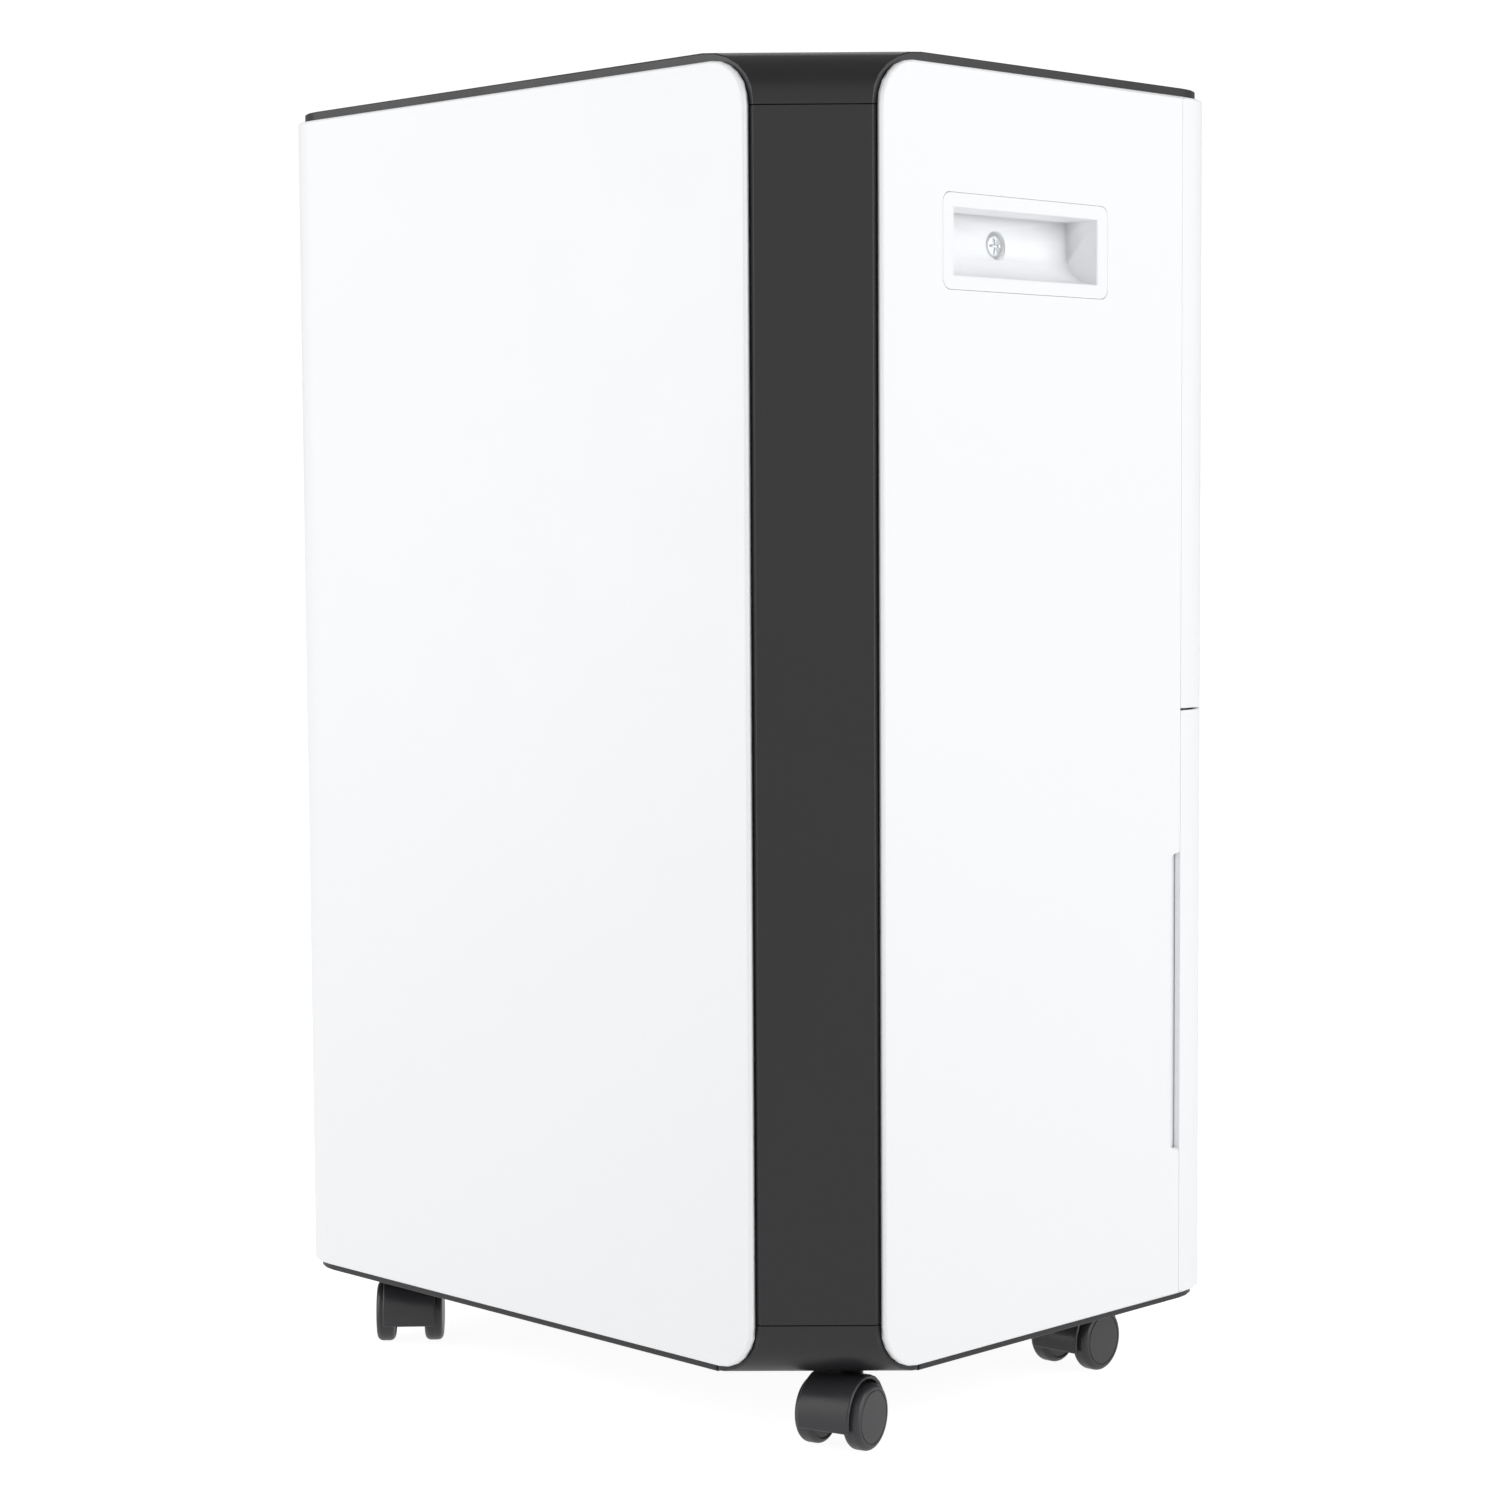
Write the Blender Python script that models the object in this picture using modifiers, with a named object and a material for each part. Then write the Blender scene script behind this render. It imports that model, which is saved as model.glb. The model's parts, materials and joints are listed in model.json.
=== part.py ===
"""Portable dehumidifier: a white panelled box on four twin-wheel castors, with a dark frame that shows as the
top cover's edge, the base strip and one chamfered corner pillar. The water tank slides out of the back, below
the intake grille; the compressor, the coils and the blower are inside.

Axes: +X to the right side panel, -Y to the front, +Z up. The origin is on the floor, under the body's centre.
All sizes are in metres. A name that ends in _Z is a height above the floor.
"""

import math

import bmesh
import bpy
from mathutils import Matrix, Vector

# ---------------------------------------------------------------- overall body
BODY_WIDTH = 0.324
BODY_DEPTH = 0.244
BODY_HEIGHT = 0.500
CORNER_RADIUS = 0.025
CORNER_WRAP = 0.0293
PANEL_WALL = 0.0026
PANEL_SEAT = 0.0004
PANEL_SEAM = 0.0005
PANEL_ROUND = 0.018
PANEL_SETBACK = 0.0021
TOP_REVEAL = 0.0039
BASE_REVEAL = 0.0033
TANK_SEAM_HEIGHT = 0.247
TANK_SEAM = 0.0008

# ---------------------------------------------------------------- dark frame
FRAME_WALL = 0.0025
TOP_WALL = 0.003
BASE_FLOOR = 0.003
COVER_HEIGHT = 0.0214
BASE_HEIGHT = 0.0218
CHAMFER_LEG = 0.031
CORNER_ROUND = 0.020
CAP_REACH = 0.0237
CAP_DEPTH = 0.0203
PILLAR_RETURN = 0.020
CHASSIS_REAR = 0.086
BAY_FRONT = 0.016
DECK_DROP = 0.004
DECK_WALL = 0.003
DECK_REAR = 0.110

# ---------------------------------------------------------------- fits
FIT = 0.0003
SLIDE_FIT = 0.0005
OVERCUT = 0.010
OVERLAP = 0.001
SQRT2 = math.sqrt(2)
ARC_STEPS = 6
ROUND_STEPS = 24
FINE_STEPS = 32

# ---------------------------------------------------------------- carry handles and grips
HANDLE_LENGTH = 0.097
HANDLE_HEIGHT = 0.036
HANDLE_Y = -0.004
HANDLE_RISE = 0.4305
HANDLE_ROUND = 0.004
SCOOP_LENGTH = 0.0846
SCOOP_HEIGHT = 0.0253
SCOOP_DEPTH = 0.0165
SCOOP_CURVE = 0.014
SCOOP_WALL = 0.002
SCOOP_BACK = 0.0045
WELL_RADIUS = 0.0058
WELL_DEPTH = 0.0024
SCREW_HEAD_RADIUS = 0.0048
SCREW_HEAD_HEIGHT = 0.0018
SCREW_RADIUS = 0.0016
SCREW_LENGTH = 0.009
SCREW_SLOT_LENGTH = 0.0050
SCREW_SLOT_WIDTH = 0.0009
SCREW_SLOT_DEPTH = 0.0008
GRIP_WIDTH = 0.0059
GRIP_HEIGHT = 0.1227
GRIP_RISE = 0.1261
GRIP_ROUND = 0.0038
POCKET_START = 0.100
POCKET_WALL = 0.002
POCKET_MARGIN = 0.003
POCKET_DEPTH = 0.0185

# ---------------------------------------------------------------- castors
WHEEL_RADIUS = 0.0130
WHEEL_WIDTH = 0.0078
WHEEL_GAP = 0.0138
WHEEL_EDGE = 0.0024
WHEEL_BORE = 0.0023
WHEEL_CAP = 0.001
WHEEL_GROOVE = 0.0004
AXLE_RADIUS = 0.0020
HOOD_GAP = 0.0028
HOOD_HEADROOM = 0.0012
HOOD_WALL = 0.0018
HOOD_WIDTH = 0.0223
HOOD_SKIRT = 0.0039
CASTOR_TRAIL = 0.008
STEM_RADIUS = 0.0030
STEM_LENGTH = 0.017
STEM_COLLAR = 0.0048
SOCKET_RADIUS = 0.0060
COLLAR_GAP = 0.0004

# Each castor: inset from its side, inset from its end, how far its stem is turned, in degrees.
CASTORS = {
    "front_right": (0.0286, 0.0469, 15.4),
    "front_left": (0.0448, 0.0309, 47.5),
    "rear_right": (0.0394, 0.0419, 4.9),
    "rear_left": (0.0394, 0.0419, 24.0),
}

# ---------------------------------------------------------------- top: controls and air outlet
CONTROL_WIDTH = 0.184
CONTROL_DEPTH = 0.054
CONTROL_Y = -0.080
CONTROL_ROUND = 0.005
CONTROL_FLANGE = 0.004
FLANGE_WALL = 0.002
POST_RADIUS = 0.0025
BUTTON_RADIUS = 0.0062
BUTTON_FLANGE = 0.0078
BUTTON_FLANGE_WALL = 0.0015
BUTTON_TRAVEL = 0.0010
BUTTON_PITCH = 0.0215
FIRST_BUTTON_X = -0.006
BUTTONS = ("power_button", "mode_button", "fan_speed_button", "humidity_button", "timer_button")
DISPLAY_WIDTH = 0.054
DISPLAY_DEPTH = 0.024
DISPLAY_X = -0.055
DISPLAY_WALL = 0.002
BOARD_WALL = 0.0016
BOARD_MARGIN = 0.004
OUTLET_WIDTH = 0.206
OUTLET_FRONT = -0.024
OUTLET_REAR = 0.0463
COLLAR_WALL = 0.002
COLLAR_HEIGHT = 0.015
LEDGE_WIDTH = 0.004
LOUVRE_WALL = 0.0025
LOUVRE_BARREL = 0.0029
LOUVRE_PIN = 0.0012
LOUVRE_PIN_LENGTH = 0.0015
VANE_COUNT = 13
VANE_WALL = 0.0016
VANE_HEIGHT = 0.008
VANE_DROP = 0.004

# ---------------------------------------------------------------- rear: intake grille, filter
INTAKE_WIDTH = 0.212
INTAKE_LOW = 0.302
INTAKE_HIGH = 0.482
INTAKE_ROUND = 0.006
GRILLE_SLOTS = 15
GRILLE_SLOT = 0.0040
GRILLE_MARGIN = 0.012
FILTER_WALL = 0.003
FILTER_FRAME = 0.008
FILTER_MARGIN = 0.004
FILTER_COLUMNS = 4
FILTER_ROWS = 3
FILTER_BAR = 0.003

# ---------------------------------------------------------------- water tank
TANK_FRONT_Y = 0.024
TANK_TOP_Z = 0.212
TANK_WALL = 0.0024
TANK_ROUND = 0.012
LID_WALL = 0.0025
INLET_LENGTH = 0.060
INLET_WIDTH = 0.030
BAIL_RADIUS = 0.0025
BAIL_REACH = 0.038
BAIL_HALF = 0.115
BAIL_PIN = 0.012
BAIL_BEND = 0.008
BAIL_Y = 0.071
BAIL_LIFT = 0.0062
EAR_WALL = 0.004
EAR_HALF = 0.006
FLOAT_X = -0.103
FLOAT_HALF = 0.015
FLOAT_NEAR = 0.060
FLOAT_FAR = 0.100
FLOAT_LOW = 0.168
FLOAT_HIGH = 0.194
FLOAT_PIVOT_Y = 0.050
FLOAT_PIVOT_DROP = 0.009
FLOAT_PIN = 0.0015
FLOAT_ARM = 0.003
LUG_WALL = 0.003
RAIL_X = 0.060
RAIL_HALF = 0.002

# ---------------------------------------------------------------- refrigeration
COMPRESSOR_X = -0.060
COMPRESSOR_Y = -0.048
COMPRESSOR_RADIUS = 0.052
COMPRESSOR_HEIGHT = 0.172
COMPRESSOR_DOME = 0.018
FOOT_CIRCLE = 0.056
FOOT_RADIUS = 0.008
FOOT_HEIGHT = 0.012
FOOT_PLATE = 0.003
FOOT_PLATE_RADIUS = 0.011
STUB_RADIUS = 0.0045
STUB_LENGTH = 0.008
ACCUMULATOR_RADIUS = 0.018
ACCUMULATOR_HEIGHT = 0.110
ACCUMULATOR_LIFT = 0.048
ACCUMULATOR_TURN = -25.0
COIL_HALF = 0.105
COIL_DEPTH = 0.024
COIL_HEIGHT = 0.190
CONDENSER_Y = 0.066
EVAPORATOR_Y = 0.096
BEND_RADIUS = 0.010
BEND_TUBE = 0.0032
BEND_PITCH = 0.040
BEND_FIRST = 0.050
BENDS = 4
STUB_LOW = 0.032
TRAY_HALF = 0.113
TRAY_FRONT = 0.050
TRAY_BACK = 0.1105
TRAY_HEIGHT = 0.017
TRAY_WALL = 0.0015
SPOUT_RADIUS = 0.006
SPOUT_BORE = 0.0045
SPOUT_DROP = 0.008
SPOUT_Y = 0.097
SPOUT_FIT = 0.002
PIPE_RADIUS = 0.004
CAPILLARY_RADIUS = 0.0015
PIPE_BEND = 0.014

# ---------------------------------------------------------------- blower
FAN_Z = 0.385
FAN_RADIUS = 0.080
FAN_LOW_Y = -0.017
FAN_HIGH_Y = 0.033
FAN_BLADES = 20
FAN_BLADE_DEPTH = 0.016
FAN_BLADE_WALL = 0.0012
FAN_DISC = 0.002
FAN_RING = 0.003
FAN_HUB = 0.014
FAN_SHAFT = 0.003
SHAFT_FIT = 0.0003
HOUSING_FRONT = -0.022
HOUSING_BACK = 0.048
HOUSING_WALL = 0.002
SCROLL_START = 0.085
SCROLL_END = 0.101
TONGUE_ANGLE = 140.0
HOUSING_INLET = 0.062
HOUSING_FOOT_X = 0.060
HOUSING_FOOT_REACH = 0.064
MOTOR_RADIUS = 0.038
MOTOR_LENGTH = 0.040
MOTOR_EDGE = 0.006
MOTOR_SHAFT_DEPTH = 0.026

# ---------------------------------------------------------------- electrics
BOX_LEFT = 0.052
BOX_RIGHT = 0.140
BOX_FRONT = -0.060
BOX_LOW = 0.080
BOX_HIGH = 0.220
BOX_EDGE = 0.003
CAPACITOR_RADIUS = 0.0165
CAPACITOR_LOW = 0.090
CAPACITOR_HIGH = 0.160
SWITCH_X = 0.105
SWITCH_HALF = 0.010
SWITCH_LOW = 0.194
SWITCH_HIGH = 0.206
SWITCH_DEPTH = 0.0038
GLAND_Y = -0.050
GLAND_Z = 0.078
GLAND_RADIUS = 0.007
GLAND_BORE = 0.0035
GLAND_FLANGE = 0.0092
GLAND_FLANGE_WALL = 0.003
GLAND_LENGTH = 0.012

# ---------------------------------------------------------------- worked out from the sizes above
SIDE = BODY_WIDTH / 2
BACK = BODY_DEPTH / 2
FRAME_INSET = PANEL_WALL + PANEL_SEAT
FRAME_SIDE = SIDE - FRAME_INSET
FRAME_BACK = BACK - FRAME_INSET
AXLE_Z = WHEEL_RADIUS
HOOD_RADIUS = WHEEL_RADIUS + HOOD_GAP
HOOD_CLEARANCE = AXLE_Z - HOOD_SKIRT
BASE_Z = AXLE_Z + HOOD_RADIUS + HOOD_HEADROOM
TOP_Z = BASE_Z + BODY_HEIGHT
BASE_TOP_Z = BASE_Z + BASE_HEIGHT
COVER_Z = TOP_Z - COVER_HEIGHT
PANEL_LOW_Z = BASE_Z + BASE_REVEAL
PANEL_HIGH_Z = TOP_Z - TOP_REVEAL
SIDE_SEAM = BACK - CORNER_WRAP
CHAMFER_X = FRAME_SIDE - CHAMFER_LEG
CHAMFER_Y = -FRAME_BACK + CHAMFER_LEG
PANEL_EDGE_X = CHAMFER_X - PANEL_SETBACK
PANEL_EDGE_Y = CHAMFER_Y + PANEL_SETBACK
SEAM_Z = BASE_Z + TANK_SEAM_HEIGHT
DECK_TOP_Z = SEAM_Z - DECK_DROP
DECK_LOW_Z = DECK_TOP_Z - DECK_WALL
INNER_SIDE = FRAME_SIDE - FRAME_WALL
HANDLE_Z = BASE_Z + HANDLE_RISE
GRIP_Z = BASE_Z + GRIP_RISE
TOP_UNDER_Z = TOP_Z - TOP_WALL
TANK_SIDE = INNER_SIDE - POCKET_DEPTH
TANK_LOW_Z = BASE_TOP_Z + FIT
TANK_BACK = FRAME_BACK + PANEL_SEAT - FIT
LID_TOP_Z = TANK_TOP_Z + FIT + LID_WALL
BAIL_Z = LID_TOP_Z + BAIL_LIFT
FLOAT_PIVOT_Z = TANK_TOP_Z - FLOAT_PIVOT_DROP
LOUVRE_TOP_Z = TOP_Z - FIT / 3
HINGE_Z = LOUVRE_TOP_Z - LOUVRE_BARREL
HINGE_Y = OUTLET_REAR - SLIDE_FIT - LOUVRE_BARREL
TRAY_Z = DECK_TOP_Z + FIT
COIL_Z = TRAY_Z + TRAY_WALL + FIT
COMPRESSOR_Z = BASE_Z + BASE_FLOOR + FIT + FOOT_HEIGHT + FIT

# ---------------------------------------------------------------- finishes: colour, roughness, metallic
FINISHES = {
    "white_abs": ((0.90, 0.91, 0.93), 0.38, 0.0),
    "charcoal_abs": ((0.045, 0.046, 0.050), 0.45, 0.0),
    "castor_nylon": ((0.060, 0.060, 0.062), 0.55, 0.0),
    "panel_gloss": ((0.015, 0.015, 0.018), 0.12, 0.0),
    "smoked_lens": ((0.02, 0.02, 0.025), 0.05, 0.0),
    "grey_plastic": ((0.45, 0.46, 0.48), 0.5, 0.0),
    "tank_plastic": ((0.55, 0.62, 0.68), 0.3, 0.0),
    "zinc_steel": ((0.72, 0.72, 0.74), 0.3, 1.0),
    "black_enamel": ((0.02, 0.02, 0.02), 0.35, 0.2),
    "aluminium_fins": ((0.75, 0.76, 0.78), 0.4, 1.0),
    "copper_tube": ((0.72, 0.38, 0.24), 0.3, 1.0),
    "rubber": ((0.03, 0.03, 0.03), 0.8, 0.0),
    "filter_nylon": ((0.20, 0.21, 0.23), 0.7, 0.0),
    "board_green": ((0.03, 0.16, 0.07), 0.5, 0.0),
    "float_foam": ((0.85, 0.85, 0.80), 0.8, 0.0),
}


# ---------------------------------------------------------------- modelling helpers
def clear_scene():
    for obj in list(bpy.data.objects):
        bpy.data.objects.remove(obj, do_unlink=True)


def new_collection(name):
    collection = bpy.data.collections.new(name)
    bpy.context.scene.collection.children.link(collection)
    return collection


def make_finishes():
    made = {}
    for name, (colour, roughness, metallic) in FINISHES.items():
        material = bpy.data.materials.new(name)
        material.use_nodes = True
        shader = material.node_tree.nodes["Principled BSDF"]
        shader.inputs["Base Color"].default_value = (*colour, 1.0)
        shader.inputs["Roughness"].default_value = roughness
        shader.inputs["Metallic"].default_value = metallic
        material.diffuse_color = (*colour, 1.0)
        made[name] = material
    return made


clear_scene()
PARTS = new_collection("dehumidifier")
CUTTERS = new_collection("dehumidifier_cutters")
MATERIALS = make_finishes()


def place_mesh(name, mesh, matrix=None):
    obj = bpy.data.objects.new(name, mesh)
    PARTS.objects.link(obj)
    if matrix is not None:
        obj.matrix_world = matrix
    return obj


def finish(obj, material):
    """Names the object's material and shades its round faces smooth."""
    obj.data.materials.clear()
    obj.data.materials.append(MATERIALS[material])
    if obj.type == "MESH":
        obj.data.shade_smooth()
        obj.data.set_sharp_from_angle(angle=math.radians(35))
    return obj


def corner(centre_x, centre_y, radius, start, steps=ARC_STEPS, turn=90.0):
    """Points round an arc, counterclockwise from the angle start, in degrees."""
    angles = [math.radians(start + turn * step / steps) for step in range(steps + 1)]
    return [(centre_x + radius * math.cos(a), centre_y + radius * math.sin(a)) for a in angles]


def rounded_rectangle(low, high, radius, round_low=True, round_high=True):
    """Outline of a rectangle; its corners at the low or the high first coordinate can stay square."""
    (left, bottom), (right, top) = low, high
    points = []
    corners = (
        (right - radius, top - radius, 0, round_high, (right, top)),
        (left + radius, top - radius, 90, round_low, (left, top)),
        (left + radius, bottom + radius, 180, round_low, (left, bottom)),
        (right - radius, bottom + radius, 270, round_high, (right, bottom)),
    )
    for centre_x, centre_y, start, rounded, square in corners:
        points += corner(centre_x, centre_y, radius, start) if rounded else [square]
    return points


PLAN = Matrix.Identity(4)
FRONT = Matrix.Rotation(math.radians(90), 4, "X")
SIDEWAYS = Matrix(((0, 0, 1, 0), (1, 0, 0, 0), (0, 1, 0, 0), (0, 0, 0, 1)))


def curve_to_mesh(curve_object):
    """The curve as a closed mesh object of the same name and place; the curve is removed."""
    graph = bpy.context.evaluated_depsgraph_get()
    graph.update()
    mesh = bpy.data.meshes.new_from_object(curve_object.evaluated_get(graph))
    name, matrix = curve_object.name, curve_object.matrix_world.copy()
    bpy.data.objects.remove(curve_object, do_unlink=True)
    work = bmesh.new()
    work.from_mesh(mesh)
    bmesh.ops.remove_doubles(work, verts=work.verts, dist=1e-6)
    bmesh.ops.recalc_face_normals(work, faces=work.faces)
    work.to_mesh(mesh)
    work.free()
    return place_mesh(name, mesh, matrix)


def plate(name, outline, low, high, facing=PLAN):
    """A flat outline extruded from low to high along the axis that it faces: Z, Y for FRONT, X for SIDEWAYS."""
    curve = bpy.data.curves.new(name, "CURVE")
    curve.dimensions = "2D"
    curve.fill_mode = "BOTH"
    curve.extrude = abs(high - low) / 2
    spline = curve.splines.new("POLY")
    spline.points.add(len(outline) - 1)
    for point, (u, v) in zip(spline.points, outline):
        point.co = (u, v, 0, 1)
    spline.use_cyclic_u = True
    obj = bpy.data.objects.new(name, curve)
    PARTS.objects.link(obj)
    middle = (low + high) / 2
    axis = {id(PLAN): (0, 0, 1), id(FRONT): (0, 1, 0), id(SIDEWAYS): (1, 0, 0)}.get(id(facing), (0, 0, 0))
    obj.matrix_world = Matrix.Translation(Vector(axis) * middle) @ facing
    bpy.context.view_layer.update()
    return curve_to_mesh(obj)


def box(name, low, high):
    mesh = bpy.data.meshes.new(name)
    work = bmesh.new()
    bmesh.ops.create_cube(work, size=1.0)
    size = [abs(b - a) for a, b in zip(low, high)]
    middle = [(a + b) / 2 for a, b in zip(low, high)]
    bmesh.ops.scale(work, vec=size, verts=work.verts)
    bmesh.ops.translate(work, vec=middle, verts=work.verts)
    work.to_mesh(mesh)
    work.free()
    return place_mesh(name, mesh)


def boxes(name, bounds):
    """Several boxes that don't touch each other, as one mesh: a tool for cutting or joining."""
    mesh = bpy.data.meshes.new(name)
    work = bmesh.new()
    for low, high in bounds:
        made = bmesh.ops.create_cube(work, size=1.0)["verts"]
        bmesh.ops.scale(work, vec=[abs(b - a) for a, b in zip(low, high)], verts=made)
        bmesh.ops.translate(work, vec=[(a + b) / 2 for a, b in zip(low, high)], verts=made)
    work.to_mesh(mesh)
    work.free()
    return place_mesh(name, mesh)


def cylinder(name, radius, start, end, steps=ROUND_STEPS):
    """A round bar from the point start to the point end."""
    start, end = Vector(start), Vector(end)
    mesh = bpy.data.meshes.new(name)
    work = bmesh.new()
    length = (end - start).length
    bmesh.ops.create_cone(work, cap_ends=True, segments=steps, radius1=radius, radius2=radius, depth=length)
    turn = (end - start).to_track_quat("Z", "Y").to_matrix().to_4x4()
    bmesh.ops.transform(work, matrix=Matrix.Translation((start + end) / 2) @ turn, verts=work.verts)
    work.to_mesh(mesh)
    work.free()
    return place_mesh(name, mesh)


def turned(name, profile, matrix=None, steps=ROUND_STEPS):
    """A turned shape about local Z. The profile lists (radius, height), down its outer side."""
    mesh = bpy.data.meshes.new(name)
    points = [(radius, 0, height) for radius, height in profile]
    mesh.from_pydata(points, [(i, i + 1) for i in range(len(points) - 1)], [])
    obj = place_mesh(name, mesh, matrix)
    screw = obj.modifiers.new("turn", "SCREW")
    screw.axis = "Z"
    screw.steps = steps
    screw.render_steps = steps
    screw.use_merge_vertices = True
    screw.merge_threshold = 1e-5
    screw.use_smooth_shade = True
    return obj


def tube(name, points, radius, resolution=2):
    """A round wire or pipe through the points, with closed ends."""
    curve = bpy.data.curves.new(name, "CURVE")
    curve.dimensions = "3D"
    curve.bevel_depth = radius
    curve.bevel_resolution = resolution
    curve.use_fill_caps = True
    spline = curve.splines.new("POLY")
    spline.points.add(len(points) - 1)
    for point, place in zip(spline.points, points):
        point.co = (*place, 1)
    obj = bpy.data.objects.new(name, curve)
    PARTS.objects.link(obj)
    bpy.context.view_layer.update()
    return obj


def bent_route(points, radius, steps=4):
    """The points of a straight-sided route with each inner corner rounded."""
    places = [Vector(point) for point in points]
    route = [places[0]]
    for before, here, after in zip(places, places[1:], places[2:]):
        start = here + (before - here).normalized() * radius
        end = here + (after - here).normalized() * radius
        for step in range(steps + 1):
            share = step / steps
            route.append((1 - share) ** 2 * start + 2 * share * (1 - share) * here + share**2 * end)
    route.append(places[-1])
    return [tuple(point) for point in route]


def combine(target, operation, *tools):
    """Adds a Boolean for each tool, and puts the tool with the other cutters."""
    for tool in tools:
        modifier = target.modifiers.new(operation.lower(), "BOOLEAN")
        modifier.operation = operation
        modifier.solver = "EXACT"
        modifier.object = tool
        if tool.name in PARTS.objects:
            PARTS.objects.unlink(tool)
            CUTTERS.objects.link(tool)
        tool.hide_render = True
        tool.display_type = "WIRE"
    return target


def cut(target, *tools):
    return combine(target, "DIFFERENCE", *tools)


def join(target, *tools):
    return combine(target, "UNION", *tools)


def keep(target, *tools):
    return combine(target, "INTERSECT", *tools)


def soften(obj, width, segments=2):
    """Rounds the sharp edges of a plain solid."""
    bevel = obj.modifiers.new("edge", "BEVEL")
    bevel.width = width
    bevel.segments = segments
    bevel.limit_method = "ANGLE"
    bevel.angle_limit = math.radians(40)
    return obj


def pivot_at(obj, point):
    """Moves the object's origin to the point, and leaves its shape where it is."""
    offset = Matrix.Translation(Vector(point))
    obj.data.transform(offset.inverted() @ obj.matrix_world)
    obj.matrix_world = offset
    return obj


def empty_at(name, point, turn=0.0):
    obj = bpy.data.objects.new(name, None)
    obj.location = point
    obj.rotation_euler = (0, 0, math.radians(turn))
    PARTS.objects.link(obj)
    return obj


# ---------------------------------------------------------------- outlines that the whole body shares
def skin_outline(inset):
    """Plan outline of the white panels, this far inside their outer face."""
    low = (-SIDE + inset, -BACK + inset)
    high = (SIDE - inset, BACK - inset)
    return rounded_rectangle(low, high, CORNER_RADIUS - inset)


def frame_outline(wall):
    """Plan outline of the dark frame with its front right corner cut off, this far inside its outer face."""
    side, back = FRAME_SIDE - wall, FRAME_BACK - wall
    leg = CHAMFER_LEG - (2 - SQRT2) * wall
    radius = CORNER_RADIUS - FRAME_INSET - wall
    points = [(side - leg, -back), (side, -back + leg)]
    points += corner(side - radius, back - radius, radius, 0)
    points += corner(-side + radius, back - radius, radius, 90)
    points += corner(-side + radius, -back + radius, radius, 180)
    return points


def chamfer_facing():
    """Matrix of a plane across the chamfer: u runs inwards from its face, v runs up."""
    middle = Vector(((CHAMFER_X + FRAME_SIDE) / 2, (CHAMFER_Y - FRAME_BACK) / 2, 0))
    inwards = Vector((-1, 1, 0)).normalized()
    along = inwards.cross(Vector((0, 0, 1)))
    matrix = Matrix((inwards, Vector((0, 0, 1)), along)).transposed().to_4x4()
    return Matrix.Translation(middle) @ matrix


def round_cutter(name, wall, top):
    """What is cut away so that the chamfer's face bends over into the top or into the base."""
    radius = CORNER_ROUND - wall
    if top:
        centre = TOP_Z - CORNER_ROUND
        outline = [(-OVERCUT, centre)] + corner(CORNER_ROUND, centre, radius, 180, ARC_STEPS, -90)
        outline += [(CORNER_ROUND, TOP_Z + OVERCUT), (-OVERCUT, TOP_Z + OVERCUT)]
    else:
        centre = BASE_Z + CORNER_ROUND
        outline = [(-OVERCUT, centre)] + corner(CORNER_ROUND, centre, radius, 180, ARC_STEPS, 90)
        outline += [(CORNER_ROUND, BASE_Z - OVERCUT), (-OVERCUT, BASE_Z - OVERCUT)]
    return plate(name, outline, -2 * CHAMFER_LEG, 2 * CHAMFER_LEG, chamfer_facing())


def corner_region(clearance):
    """Plan outline of the front right corner, which the base leaves to its corner cap."""
    reach = CAP_REACH + clearance
    depth = (CAP_DEPTH + clearance) * SQRT2 - reach
    start_x, end_y = CHAMFER_X - reach, CHAMFER_Y + reach
    far_x, far_y = FRAME_SIDE + OVERCUT, -FRAME_BACK - OVERCUT
    points = [(start_x, far_y), (far_x, far_y), (far_x, end_y)]
    return points + [(FRAME_SIDE - depth, end_y), (start_x, -FRAME_BACK + depth)]


def castor_place(name):
    """Where a castor's stem stands: x, y and its turn."""
    side_inset, end_inset, turn = CASTORS[name]
    x = (SIDE - side_inset) * (1 if name.endswith("right") else -1)
    y = (BACK - end_inset) * (1 if name.startswith("rear") else -1)
    return x, y, turn


# ---------------------------------------------------------------- dark frame: base, corner, cover
def make_base_tray():
    tray = plate("base_tray", frame_outline(0), BASE_Z, BASE_TOP_Z)
    cut(tray, plate("base_hollow", frame_outline(FRAME_WALL), BASE_Z + BASE_FLOOR, BASE_TOP_Z + OVERCUT))
    rail_front, rail_back = BAY_FRONT, FRAME_BACK - FRAME_WALL + OVERLAP
    for side in (-1, 1):
        low = (side * RAIL_X - RAIL_HALF, rail_front, BASE_Z + OVERLAP)
        high = (side * RAIL_X + RAIL_HALF, rail_back, BASE_TOP_Z)
        join(tray, box(f"tank_rail_{side}", low, high))
    for name in CASTORS:
        x, y, _ = castor_place(name)
        socket = cylinder(f"socket_{name}", SOCKET_RADIUS, (x, y, BASE_Z + OVERLAP), (x, y, BASE_TOP_Z))
        join(tray, socket)
    cut(tray, plate("corner_cut", corner_region(FIT), BASE_Z - OVERCUT, BASE_TOP_Z + OVERCUT))
    for name in CASTORS:
        x, y, _ = castor_place(name)
        bore = STEM_RADIUS + FIT
        top = BASE_Z + STEM_LENGTH + FIT
        cut(tray, cylinder(f"socket_bore_{name}", bore, (x, y, BASE_Z - OVERCUT), (x, y, top)))
    return finish(tray, "charcoal_abs")


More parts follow.
